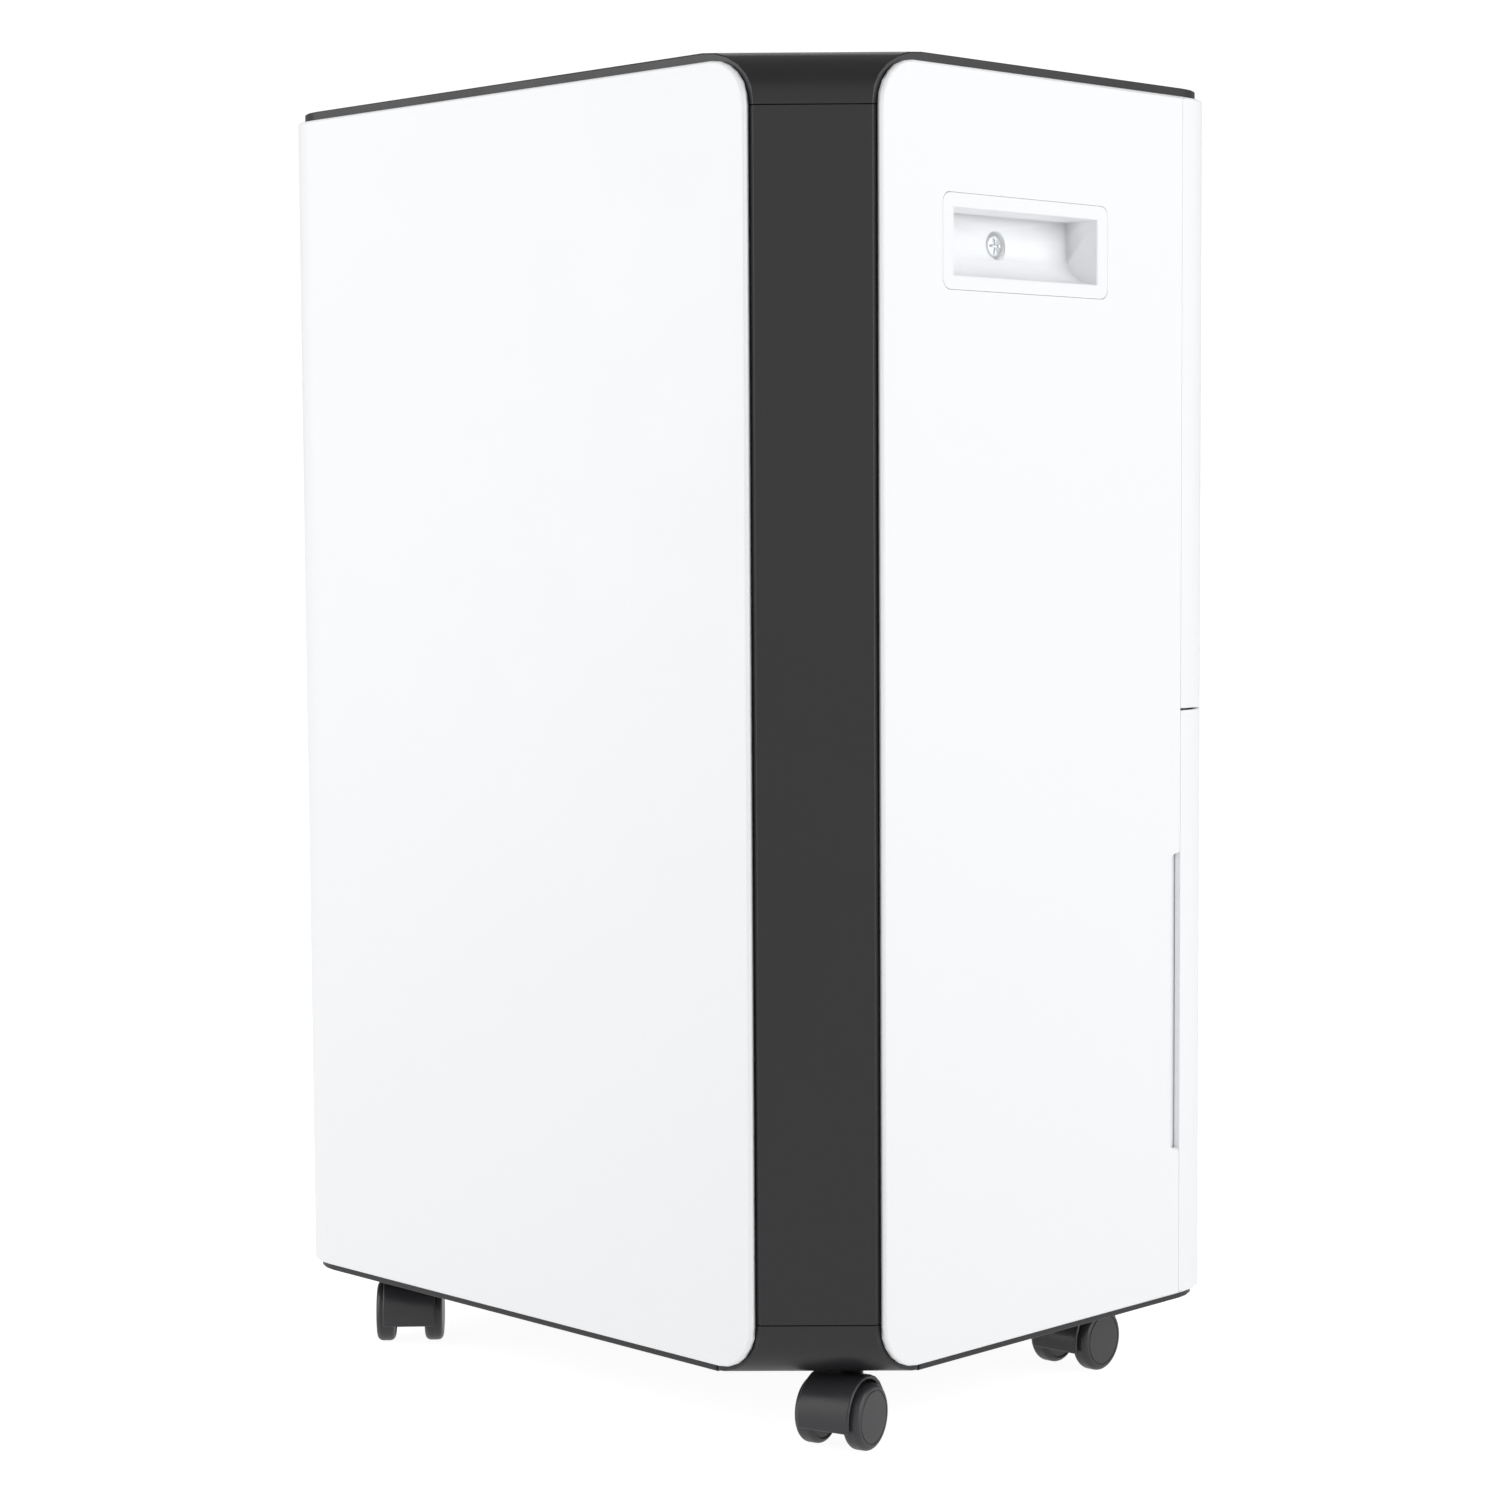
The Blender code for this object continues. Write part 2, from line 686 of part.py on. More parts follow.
def make_corner_cap():
    cap = plate("base_corner_cap", frame_outline(0), BASE_Z, BASE_TOP_Z)
    keep(cap, plate("cap_region", corner_region(0), BASE_Z - OVERCUT, BASE_TOP_Z + OVERCUT))
    cut(cap, round_cutter("cap_round", 0, False))
    hollow = plate("cap_hollow", frame_outline(FRAME_WALL), BASE_Z + BASE_FLOOR, BASE_TOP_Z + OVERCUT)
    cut(hollow, round_cutter("cap_inner_round", FRAME_WALL, False))
    cut(cap, hollow)
    return finish(cap, "charcoal_abs")


def make_corner_pillar():
    low, high = BASE_TOP_Z + FIT, COVER_Z - FIT
    pillar = plate("corner_pillar", frame_outline(0), low, high)
    cut(pillar, plate("pillar_hollow", frame_outline(FRAME_WALL), low - OVERCUT, high + OVERCUT))
    corner_low = (CHAMFER_X - PILLAR_RETURN, -FRAME_BACK - OVERCUT, low - OVERCUT)
    corner_high = (FRAME_SIDE + OVERCUT, CHAMFER_Y + PILLAR_RETURN, high + OVERCUT)
    keep(pillar, box("pillar_region", corner_low, corner_high))
    return finish(pillar, "charcoal_abs")


def outlet_box(name, margin, low, high):
    """A box over the air outlet's opening, wider than it by the margin."""
    half = OUTLET_WIDTH / 2 + margin
    return box(name, (-half, OUTLET_FRONT - margin, low), (half, OUTLET_REAR + margin, high))


def control_outline(margin):
    half = CONTROL_WIDTH / 2 + margin
    low = (-half, CONTROL_Y - CONTROL_DEPTH / 2 - margin)
    high = (half, CONTROL_Y + CONTROL_DEPTH / 2 + margin)
    return rounded_rectangle(low, high, CONTROL_ROUND)


def make_top_cover():
    cover = plate("top_cover", frame_outline(0), COVER_Z, TOP_Z)
    cut(cover, round_cutter("cover_round", 0, True))
    hollow = plate("cover_hollow", frame_outline(FRAME_WALL), COVER_Z - OVERCUT, TOP_UNDER_Z)
    cut(hollow, round_cutter("cover_inner_round", FRAME_WALL, True))
    cut(cover, hollow)
    collar_low = TOP_Z - TOP_WALL - COLLAR_HEIGHT
    join(cover, outlet_box("collar", COLLAR_WALL, collar_low, TOP_UNDER_Z + OVERLAP))
    cut(cover, outlet_box("outlet_opening", 0, collar_low - OVERCUT, TOP_Z + OVERCUT))
    ledge_top = LOUVRE_TOP_Z - LOUVRE_WALL - FIT
    half = OUTLET_WIDTH / 2 + OVERLAP
    ledge_low = (-half, OUTLET_FRONT - OVERLAP, ledge_top - TOP_WALL)
    join(cover, box("louvre_ledge", ledge_low, (half, OUTLET_FRONT + LEDGE_WIDTH, ledge_top)))
    pin_half = OUTLET_WIDTH / 2 + LOUVRE_PIN_LENGTH
    pin_radius = LOUVRE_PIN + FIT
    ends = ((-pin_half, HINGE_Y, HINGE_Z), (pin_half, HINGE_Y, HINGE_Z))
    cut(cover, cylinder("louvre_pin_holes", pin_radius, *ends, steps=12))
    cut(cover, plate("control_opening", control_outline(FIT), TOP_UNDER_Z - OVERLAP, TOP_Z + OVERCUT))
    return finish(cover, "charcoal_abs")


# ---------------------------------------------------------------- white panels
def skin_ring(name, low, high):
    """The white skin's inner volume, which is cut away to leave a panel's wall."""
    return plate(name, skin_outline(PANEL_WALL), low - OVERCUT, high + OVERCUT)


def make_front_panel():
    low = (-SIDE - OVERCUT, PANEL_LOW_Z)
    high = (PANEL_EDGE_X, PANEL_HIGH_Z)
    outline = rounded_rectangle(low, high, PANEL_ROUND, round_low=False)
    panel = plate("front_panel", outline, -BACK - OVERCUT, -SIDE_SEAM - PANEL_SEAM / 2, FRONT)
    keep(panel, plate("front_skin", skin_outline(0), PANEL_LOW_Z - OVERCUT, PANEL_HIGH_Z + OVERCUT))
    cut(panel, skin_ring("front_inside", PANEL_LOW_Z, PANEL_HIGH_Z))
    return finish(panel, "white_abs")


def handle_outline(margin):
    low = (HANDLE_Y - HANDLE_LENGTH / 2 - margin, HANDLE_Z - HANDLE_HEIGHT / 2 - margin)
    high = (HANDLE_Y + HANDLE_LENGTH / 2 + margin, HANDLE_Z + HANDLE_HEIGHT / 2 + margin)
    return rounded_rectangle(low, high, HANDLE_ROUND)


def grip_outline():
    """The finger notch in a side panel's rear edge; it runs out past the seam."""
    low = (SIDE_SEAM - GRIP_WIDTH, GRIP_Z - GRIP_HEIGHT / 2)
    high = (SIDE_SEAM + OVERCUT, GRIP_Z + GRIP_HEIGHT / 2)
    return rounded_rectangle(low, high, GRIP_ROUND, round_high=False)


def make_side_panel(side):
    """The flat white panel on the right (side 1) or the left (side -1)."""
    name = "right_side_panel" if side > 0 else "left_side_panel"
    front = PANEL_EDGE_Y if side > 0 else -SIDE_SEAM + PANEL_SEAM / 2
    low, high = (front, PANEL_LOW_Z), (SIDE_SEAM - PANEL_SEAM / 2, PANEL_HIGH_Z)
    outline = rounded_rectangle(low, high, PANEL_ROUND, round_low=side > 0, round_high=False)
    inner, outer = sorted((side * (SIDE - PANEL_WALL), side * SIDE))
    panel = plate(name, outline, inner, outer, SIDEWAYS)
    past, before = outer + OVERCUT, inner - OVERCUT
    cut(panel, plate(f"{name}_handle_hole", handle_outline(FIT), before, past, SIDEWAYS))
    cut(panel, plate(f"{name}_grip_notch", grip_outline(), before, past, SIDEWAYS))
    if side < 0:
        ends = ((before, GLAND_Y, GLAND_Z), (past, GLAND_Y, GLAND_Z))
        cut(panel, cylinder("panel_gland_hole", GLAND_RADIUS + FIT, *ends))
    return finish(panel, "white_abs")


def rear_shell(name, low, high):
    """The part of the white skin that wraps both rear corners, between two heights."""
    shell = plate(name, skin_outline(0), low, high)
    corner_low = (-SIDE - OVERCUT, SIDE_SEAM + PANEL_SEAM / 2, low - OVERCUT)
    corner_high = (SIDE + OVERCUT, BACK + OVERCUT, high + OVERCUT)
    keep(shell, box(f"{name}_region", corner_low, corner_high))
    return cut(shell, skin_ring(f"{name}_inside", low, high))


def intake_outline(margin):
    low = (-INTAKE_WIDTH / 2 - margin, INTAKE_LOW - margin)
    high = (INTAKE_WIDTH / 2 + margin, INTAKE_HIGH + margin)
    return rounded_rectangle(low, high, INTAKE_ROUND)


def make_rear_cover():
    cover = rear_shell("rear_cover", SEAM_Z + TANK_SEAM / 2, PANEL_HIGH_Z)
    cut(cover, plate("intake_opening", intake_outline(0), FRAME_BACK - OVERCUT, BACK + OVERCUT, FRONT))
    return finish(cover, "white_abs")


def make_tank_front():
    front = rear_shell("tank_front", PANEL_LOW_Z, SEAM_Z - TANK_SEAM / 2)
    low_z, high_z = GRIP_Z - GRIP_HEIGHT / 2 - POCKET_MARGIN, GRIP_Z + GRIP_HEIGHT / 2 + POCKET_MARGIN
    for side in (-1, 1):
        inner, outer = sorted((side * (TANK_SIDE + SLIDE_FIT), side * (SIDE - PANEL_WALL + OVERLAP)))
        wall = box(
            f"pocket_wall_{side}",
            (inner, POCKET_START, low_z),
            (outer, POCKET_START + POCKET_WALL, high_z),
        )
        join(front, wall)
    pivot_at(front, (0, TANK_FRONT_Y, TANK_LOW_Z))
    return finish(front, "white_abs")


# ---------------------------------------------------------------- carry handles
def make_handle_cup(side):
    """The recessed carry handle: a flush plate with a scoop that curves out to its lower edge."""
    word = "right" if side > 0 else "left"
    inner, outer = sorted((side * (SIDE - PANEL_WALL), side * SIDE))
    cup = plate(f"{word}_handle_cup", handle_outline(0), inner, outer, SIDEWAYS)
    block_depth = SCOOP_DEPTH + SCOOP_BACK
    half = SCOOP_LENGTH / 2
    low_z, high_z = HANDLE_Z - SCOOP_HEIGHT / 2, HANDLE_Z + SCOOP_HEIGHT / 2
    block_low = (side * (SIDE - block_depth), HANDLE_Y - half - SCOOP_WALL, low_z - SCOOP_WALL)
    block_high = (side * (SIDE - OVERLAP), HANDLE_Y + half + SCOOP_WALL, high_z + SCOOP_WALL)
    join(cup, box(f"{word}_scoop_block", block_low, block_high))
    curve_top = low_z + SCOOP_CURVE
    outline = [(side * (SIDE + OVERCUT), high_z), (side * (SIDE - SCOOP_DEPTH), high_z)]
    for step in range(ARC_STEPS + 1):
        angle = math.radians(90 * step / ARC_STEPS)
        depth = SCOOP_DEPTH * math.cos(angle)
        outline.append((side * (SIDE - depth), curve_top - SCOOP_CURVE * math.sin(angle)))
    outline.append((side * (SIDE + OVERCUT), low_z))
    scoop = plate(f"{word}_scoop", outline, HANDLE_Y - half, HANDLE_Y + half, FRONT)
    floor_x = SIDE - SCOOP_DEPTH
    well_ends = ((side * (floor_x - WELL_DEPTH), HANDLE_Y, curve_top), (side * SIDE, HANDLE_Y, curve_top))
    hole_ends = ((side * (floor_x - block_depth), HANDLE_Y, curve_top), (side * SIDE, HANDLE_Y, curve_top))
    cut(cup, scoop)
    cut(cup, cylinder(f"{word}_screw_well", WELL_RADIUS, *well_ends, steps=20))
    cut(cup, cylinder(f"{word}_screw_hole", SCREW_RADIUS + FIT, *hole_ends, steps=12))
    return finish(cup, "white_abs")


def make_handle_screw(side):
    word = "right" if side > 0 else "left"
    seat = SIDE - SCOOP_DEPTH - WELL_DEPTH + FIT
    top = seat + SCREW_HEAD_HEIGHT
    screw_z = HANDLE_Z - SCOOP_HEIGHT / 2 + SCOOP_CURVE
    profile = [
        (0, SCREW_HEAD_HEIGHT),
        (SCREW_HEAD_RADIUS * 0.8, SCREW_HEAD_HEIGHT * 0.95),
        (SCREW_HEAD_RADIUS, SCREW_HEAD_HEIGHT * 0.4),
        (SCREW_HEAD_RADIUS, 0),
        (SCREW_RADIUS, 0),
        (SCREW_RADIUS, -SCREW_LENGTH),
        (0, -SCREW_LENGTH),
    ]
    turn = Matrix.Rotation(math.radians(90 * side), 4, "Y")
    matrix = Matrix.Translation((side * seat, HANDLE_Y, screw_z)) @ turn
    screw = turned(f"{word}_handle_screw", profile, matrix, steps=16)
    depth, half, width = SCREW_SLOT_DEPTH, SCREW_SLOT_LENGTH / 2, SCREW_SLOT_WIDTH / 2
    for slot, (reach_y, reach_z) in enumerate(((half, width), (width, half))):
        low = (side * (top - depth), HANDLE_Y - reach_y, screw_z - reach_z)
        high = (side * (top + OVERCUT), HANDLE_Y + reach_y, screw_z + reach_z)
        cut(screw, box(f"{word}_screw_slot_{slot}", low, high))
    return finish(screw, "zinc_steel")


# ---------------------------------------------------------------- chassis inside the panels
def make_chassis():
    """Side walls, the wall in front of the tank bay, and the deck over it."""
    low_z, high_z = BASE_TOP_Z + FIT, COVER_Z - FIT
    right_front = CHAMFER_Y + PILLAR_RETURN + FIT
    left_front = -SIDE_SEAM
    wall = (-INNER_SIDE - OVERLAP, BAY_FRONT, low_z)
    chassis = box("chassis", wall, (INNER_SIDE + OVERLAP, BAY_FRONT + FRAME_WALL, DECK_TOP_Z - OVERLAP))
    join(chassis, box("right_wall", (INNER_SIDE, right_front, low_z), (FRAME_SIDE, CHASSIS_REAR, high_z)))
    join(chassis, box("left_wall", (-FRAME_SIDE, left_front, low_z), (-INNER_SIDE, CHASSIS_REAR, high_z)))
    deck_low = (-INNER_SIDE - OVERLAP, BAY_FRONT, DECK_LOW_Z)
    deck_high = (INNER_SIDE + OVERLAP, CHASSIS_REAR, DECK_TOP_Z)
    join(chassis, box("deck", deck_low, deck_high))
    shelf_half = TRAY_HALF + SPOUT_FIT
    join(
        chassis,
        box("deck_shelf", (-shelf_half, BAY_FRONT, DECK_LOW_Z), (shelf_half, DECK_REAR, DECK_TOP_Z)),
    )
    half = SCOOP_LENGTH / 2 + SCOOP_WALL + FIT
    rise = SCOOP_HEIGHT / 2 + SCOOP_WALL + FIT
    for side in (-1, 1):
        near = (side * (INNER_SIDE - OVERCUT), HANDLE_Y - half, HANDLE_Z - rise)
        far = (side * (FRAME_SIDE + OVERCUT), HANDLE_Y + half, HANDLE_Z + rise)
        cut(chassis, box(f"handle_window_{side}", near, far))
    spout_ends = ((0, SPOUT_Y, DECK_LOW_Z - OVERCUT), (0, SPOUT_Y, DECK_TOP_Z + OVERCUT))
    cut(chassis, cylinder("spout_hole", SPOUT_RADIUS + SPOUT_FIT, *spout_ends, steps=16))
    gland_ends = ((-FRAME_SIDE - OVERCUT, GLAND_Y, GLAND_Z), (-INNER_SIDE + OVERCUT, GLAND_Y, GLAND_Z))
    cut(chassis, cylinder("chassis_gland_hole", GLAND_RADIUS + FIT, *gland_ends))
    return finish(chassis, "grey_plastic")


# ---------------------------------------------------------------- controls
def control_low():
    return TOP_UNDER_Z - FIT - FLANGE_WALL


def button_place(index):
    return FIRST_BUTTON_X + index * BUTTON_PITCH


def make_control_panel():
    panel = plate("control_panel", control_outline(0), TOP_UNDER_Z - FIT - OVERLAP, TOP_Z)
    flange = plate("control_flange", control_outline(CONTROL_FLANGE), control_low(), TOP_UNDER_Z - FIT)
    join(panel, flange)
    post_low = board_top() + FIT
    for side_x in (-1, 1):
        for side_y in (-1, 1):
            x = side_x * (CONTROL_WIDTH / 2 - BOARD_MARGIN - POST_RADIUS)
            y = CONTROL_Y + side_y * (CONTROL_DEPTH / 2 - BOARD_MARGIN - POST_RADIUS)
            ends = ((x, y, post_low), (x, y, control_low() + OVERLAP))
            join(panel, cylinder(f"board_post_{side_x}_{side_y}", POST_RADIUS, *ends, steps=8))
    for index, name in enumerate(BUTTONS):
        x = button_place(index)
        ends = ((x, CONTROL_Y, control_low() - OVERCUT), (x, CONTROL_Y, TOP_Z + OVERCUT))
        cut(panel, cylinder(f"{name}_hole", BUTTON_RADIUS + FIT, *ends, steps=20))
    half_x, half_y = DISPLAY_WIDTH / 2, DISPLAY_DEPTH / 2
    low = (DISPLAY_X - half_x, CONTROL_Y - half_y, control_low() - OVERCUT)
    high = (DISPLAY_X + half_x, CONTROL_Y + half_y, TOP_Z + OVERCUT)
    cut(panel, box("display_window", low, high))
    return finish(panel, "panel_gloss")


def make_display_lens():
    half_x, half_y = DISPLAY_WIDTH / 2 - FIT, DISPLAY_DEPTH / 2 - FIT
    low = (DISPLAY_X - half_x, CONTROL_Y - half_y, TOP_Z - DISPLAY_WALL)
    lens = box("display_lens", low, (DISPLAY_X + half_x, CONTROL_Y + half_y, TOP_Z))
    return finish(lens, "smoked_lens")


def button_flange_low():
    return control_low() - FIT - BUTTON_FLANGE_WALL


def board_top():
    return button_flange_low() - BUTTON_TRAVEL - FIT


def make_control_board():
    half_x, half_y = CONTROL_WIDTH / 2 - BOARD_MARGIN, CONTROL_DEPTH / 2 - BOARD_MARGIN
    low = (-half_x, CONTROL_Y - half_y, board_top() - BOARD_WALL)
    board = box("control_board", low, (half_x, CONTROL_Y + half_y, board_top()))
    return finish(board, "board_green")


def make_button(index, name):
    """A push button: a round cap with a flange that the panel keeps in."""
    low = button_flange_low()
    flange_top = low + BUTTON_FLANGE_WALL
    height = TOP_Z - low
    profile = [
        (0, height),
        (BUTTON_RADIUS - 0.0006, height),
        (BUTTON_RADIUS, height - 0.0006),
        (BUTTON_RADIUS, flange_top - low),
        (BUTTON_FLANGE, flange_top - low),
        (BUTTON_FLANGE, 0),
        (0, 0),
    ]
    matrix = Matrix.Translation((button_place(index), CONTROL_Y, low))
    return finish(turned(name, profile, matrix, steps=20), "grey_plastic")


# ---------------------------------------------------------------- air outlet
def make_louvre():
    """The outlet's flap: a plate with a hinge barrel along its rear edge and a pin at each end."""
    half = OUTLET_WIDTH / 2 - SLIDE_FIT
    under = LOUVRE_TOP_Z - LOUVRE_WALL
    flap = box(
        "louvre_flap",
        (-half, OUTLET_FRONT + SLIDE_FIT, under),
        (half, HINGE_Y, LOUVRE_TOP_Z),
    )
    join(flap, cylinder("louvre_barrel", LOUVRE_BARREL, (-half, HINGE_Y, HINGE_Z), (half, HINGE_Y, HINGE_Z)))
    reach = OUTLET_WIDTH / 2 + LOUVRE_PIN_LENGTH - FIT
    join(
        flap,
        cylinder("louvre_pins", LOUVRE_PIN, (-reach, HINGE_Y, HINGE_Z), (reach, HINGE_Y, HINGE_Z), 12),
    )
    pivot_at(flap, (0, HINGE_Y, HINGE_Z))
    return finish(flap, "charcoal_abs")


def make_outlet_grille():
    """Fixed vanes under the flap, in a frame that fills the collar."""
    half = OUTLET_WIDTH / 2 - FIT
    front, back = OUTLET_FRONT + FIT, OUTLET_REAR - FIT
    high = HINGE_Z - LOUVRE_BARREL - VANE_DROP
    low = high - VANE_HEIGHT
    grille = box("outlet_grille", (-half, front, low), (half, back, high))
    pitch = 2 * half / (VANE_COUNT + 1)
    gaps = []
    for index in range(VANE_COUNT + 1):
        start = -half + index * pitch + VANE_WALL / 2
        end = start + pitch - VANE_WALL
        gaps.append(((start, front + VANE_WALL, low - OVERCUT), (end, back - VANE_WALL, high + OVERCUT)))
    cut(grille, boxes("vane_gaps", gaps))
    return finish(grille, "grey_plastic")


# ---------------------------------------------------------------- air intake
def make_intake_grille():
    grille = plate(
        "intake_grille",
        intake_outline(-SLIDE_FIT),
        BACK - PANEL_WALL,
        BACK,
        FRONT,
    )
    half = INTAKE_WIDTH / 2 - GRILLE_MARGIN
    first = INTAKE_LOW + GRILLE_MARGIN
    pitch = (INTAKE_HIGH - GRILLE_MARGIN - first - GRILLE_SLOT) / (GRILLE_SLOTS - 1)
    slots = []
    for index in range(GRILLE_SLOTS):
        low = first + index * pitch
        for start, end in ((-half, -GRILLE_SLOT / 2), (GRILLE_SLOT / 2, half)):
            slots.append(((start, BACK - OVERCUT, low), (end, BACK + OVERCUT, low + GRILLE_SLOT)))
    cut(grille, boxes("grille_slots", slots))
    pivot_at(grille, (0, BACK, (INTAKE_LOW + INTAKE_HIGH) / 2))
    return finish(grille, "white_abs")


def make_filter():
    half = INTAKE_WIDTH / 2 - FILTER_MARGIN
    low_z, high_z = INTAKE_LOW + FILTER_MARGIN, INTAKE_HIGH - FILTER_MARGIN
    back = BACK - PANEL_WALL - FIT
    screen = box("filter_screen", (-half, back - FILTER_WALL, low_z), (half, back, high_z))
    left, bottom = -half + FILTER_FRAME, low_z + FILTER_FRAME
    width = (2 * half - 2 * FILTER_FRAME + FILTER_BAR) / FILTER_COLUMNS
    height = (high_z - low_z - 2 * FILTER_FRAME + FILTER_BAR) / FILTER_ROWS
    pockets = []
    for column in range(FILTER_COLUMNS):
        for row in range(FILTER_ROWS):
            x, z = left + column * width, bottom + row * height
            pocket_low = (x, back - FILTER_WALL / 2, z)
            pockets.append((pocket_low, (x + width - FILTER_BAR, back + OVERCUT, z + height - FILTER_BAR)))
    cut(screen, boxes("filter_pockets", pockets))
    pivot_at(screen, (0, back, (low_z + high_z) / 2))
    return finish(screen, "filter_nylon")


# ---------------------------------------------------------------- water tank
def tank_outline(inset):
    low = (-TANK_SIDE + inset, TANK_FRONT_Y + inset)
    high = (TANK_SIDE - inset, TANK_BACK - inset)
    return rounded_rectangle(low, high, TANK_ROUND - inset)


def make_tank_body():
    tank = plate("tank_body", tank_outline(0), TANK_LOW_Z, TANK_TOP_Z)
    cut(tank, plate("tank_hollow", tank_outline(TANK_WALL), TANK_LOW_Z + TANK_WALL, TANK_TOP_Z + OVERCUT))
    pivot_at(tank, (0, TANK_FRONT_Y, TANK_LOW_Z))
    return finish(tank, "tank_plastic")


def make_tank_lid():
    """The tank's lid, with the inlet, the ears of the carry bail and the lugs of the float."""
    lid = plate("tank_lid", tank_outline(0), TANK_TOP_Z + FIT, LID_TOP_Z)
    for side in (-1, 1):
        inner = side * (BAIL_HALF + 2 * BAIL_RADIUS + SLIDE_FIT)
        outer = side * (BAIL_HALF + 2 * BAIL_RADIUS + SLIDE_FIT + EAR_WALL)
        ear_low = (inner, BAIL_Y - EAR_HALF, LID_TOP_Z - OVERLAP)
        join(lid, box(f"bail_ear_{side}", ear_low, (outer, BAIL_Y + EAR_HALF, BAIL_Z + EAR_HALF)))
        lug_inner = FLOAT_X + side * (FLOAT_HALF + SLIDE_FIT)
        lug_outer = FLOAT_X + side * (FLOAT_HALF + SLIDE_FIT + LUG_WALL)
        lug_low = (lug_inner, FLOAT_PIVOT_Y - EAR_HALF, FLOAT_PIVOT_Z - EAR_HALF)
        join(lid, box(f"float_lug_{side}", lug_low, (lug_outer, FLOAT_PIVOT_Y + EAR_HALF, LID_TOP_Z - OVERLAP)))
    pin_reach = BAIL_HALF + BAIL_RADIUS + EAR_WALL + OVERCUT
    bail_ends = ((-pin_reach, BAIL_Y, BAIL_Z), (pin_reach, BAIL_Y, BAIL_Z))
    cut(lid, cylinder("bail_holes", BAIL_RADIUS + FIT, *bail_ends, steps=16))
    float_reach = FLOAT_HALF + LUG_WALL + OVERCUT
    float_ends = (
        (FLOAT_X - float_reach, FLOAT_PIVOT_Y, FLOAT_PIVOT_Z),
        (FLOAT_X + float_reach, FLOAT_PIVOT_Y, FLOAT_PIVOT_Z),
    )
    cut(lid, cylinder("float_holes", FLOAT_PIN + FIT, *float_ends, steps=12))
    inlet_low = (-INLET_LENGTH / 2, SPOUT_Y - INLET_WIDTH / 2, TANK_TOP_Z - OVERCUT)
    inlet_high = (INLET_LENGTH / 2, SPOUT_Y + INLET_WIDTH / 2, LID_TOP_Z + OVERCUT)
    cut(lid, box("tank_inlet", inlet_low, inlet_high))
    pivot_at(lid, (0, TANK_FRONT_Y, TANK_LOW_Z))
    return finish(lid, "grey_plastic")


def make_tank_handle():
    """The bail that the tank is carried by; it lies on the lid at rest."""
    pin = BAIL_HALF + BAIL_PIN
    corners = [
        (-pin, BAIL_Y, BAIL_Z),
        (-BAIL_HALF, BAIL_Y, BAIL_Z),
        (-BAIL_HALF, BAIL_Y - BAIL_REACH, BAIL_Z),
        (BAIL_HALF, BAIL_Y - BAIL_REACH, BAIL_Z),
        (BAIL_HALF, BAIL_Y, BAIL_Z),
        (pin, BAIL_Y, BAIL_Z),
    ]
    bend = 2 * BAIL_RADIUS
    route = bent_route(corners[:3], bend)[:-1]
    route += bent_route(corners[1:5], BAIL_BEND)[1:-1]
    route += bent_route(corners[3:], bend)[1:]
    bail = curve_to_mesh(tube("tank_handle", route, BAIL_RADIUS))
    pivot_at(bail, (0, BAIL_Y, BAIL_Z))
    return finish(bail, "grey_plastic")


def make_tank_float():
    """The float and its arm, on a pin under the lid."""
    left, right = FLOAT_X - FLOAT_HALF, FLOAT_X + FLOAT_HALF
    block = box("tank_float", (left, FLOAT_NEAR, FLOAT_LOW), (right, FLOAT_FAR, FLOAT_HIGH))
    outline = [
        (FLOAT_PIVOT_Y - FLOAT_ARM, FLOAT_PIVOT_Z + FLOAT_ARM),
        (FLOAT_PIVOT_Y - FLOAT_ARM, FLOAT_PIVOT_Z - FLOAT_ARM),
        (FLOAT_NEAR, FLOAT_HIGH - 2 * FLOAT_ARM),
        (FLOAT_NEAR + FLOAT_ARM, FLOAT_HIGH - FLOAT_ARM),
        (FLOAT_NEAR + FLOAT_ARM, FLOAT_HIGH),
        (FLOAT_PIVOT_Y + FLOAT_ARM, FLOAT_PIVOT_Z + FLOAT_ARM),
    ]
    join(block, plate("float_arm", outline, left + FLOAT_ARM, right - FLOAT_ARM, SIDEWAYS))
    reach = FLOAT_HALF + LUG_WALL
    ends = (
        (FLOAT_X - reach, FLOAT_PIVOT_Y, FLOAT_PIVOT_Z),
        (FLOAT_X + reach, FLOAT_PIVOT_Y, FLOAT_PIVOT_Z),
    )
    join(block, cylinder("float_pin", FLOAT_PIN, *ends, steps=12))
    pivot_at(block, (FLOAT_X, FLOAT_PIVOT_Y, FLOAT_PIVOT_Z))
    return finish(block, "float_foam")


# ---------------------------------------------------------------- refrigeration
def foot_places():
    angles = [math.radians(angle) for angle in (30, 150, 270)]
    return [
        (COMPRESSOR_X + FOOT_CIRCLE * math.cos(a), COMPRESSOR_Y + FOOT_CIRCLE * math.sin(a)) for a in angles
    ]


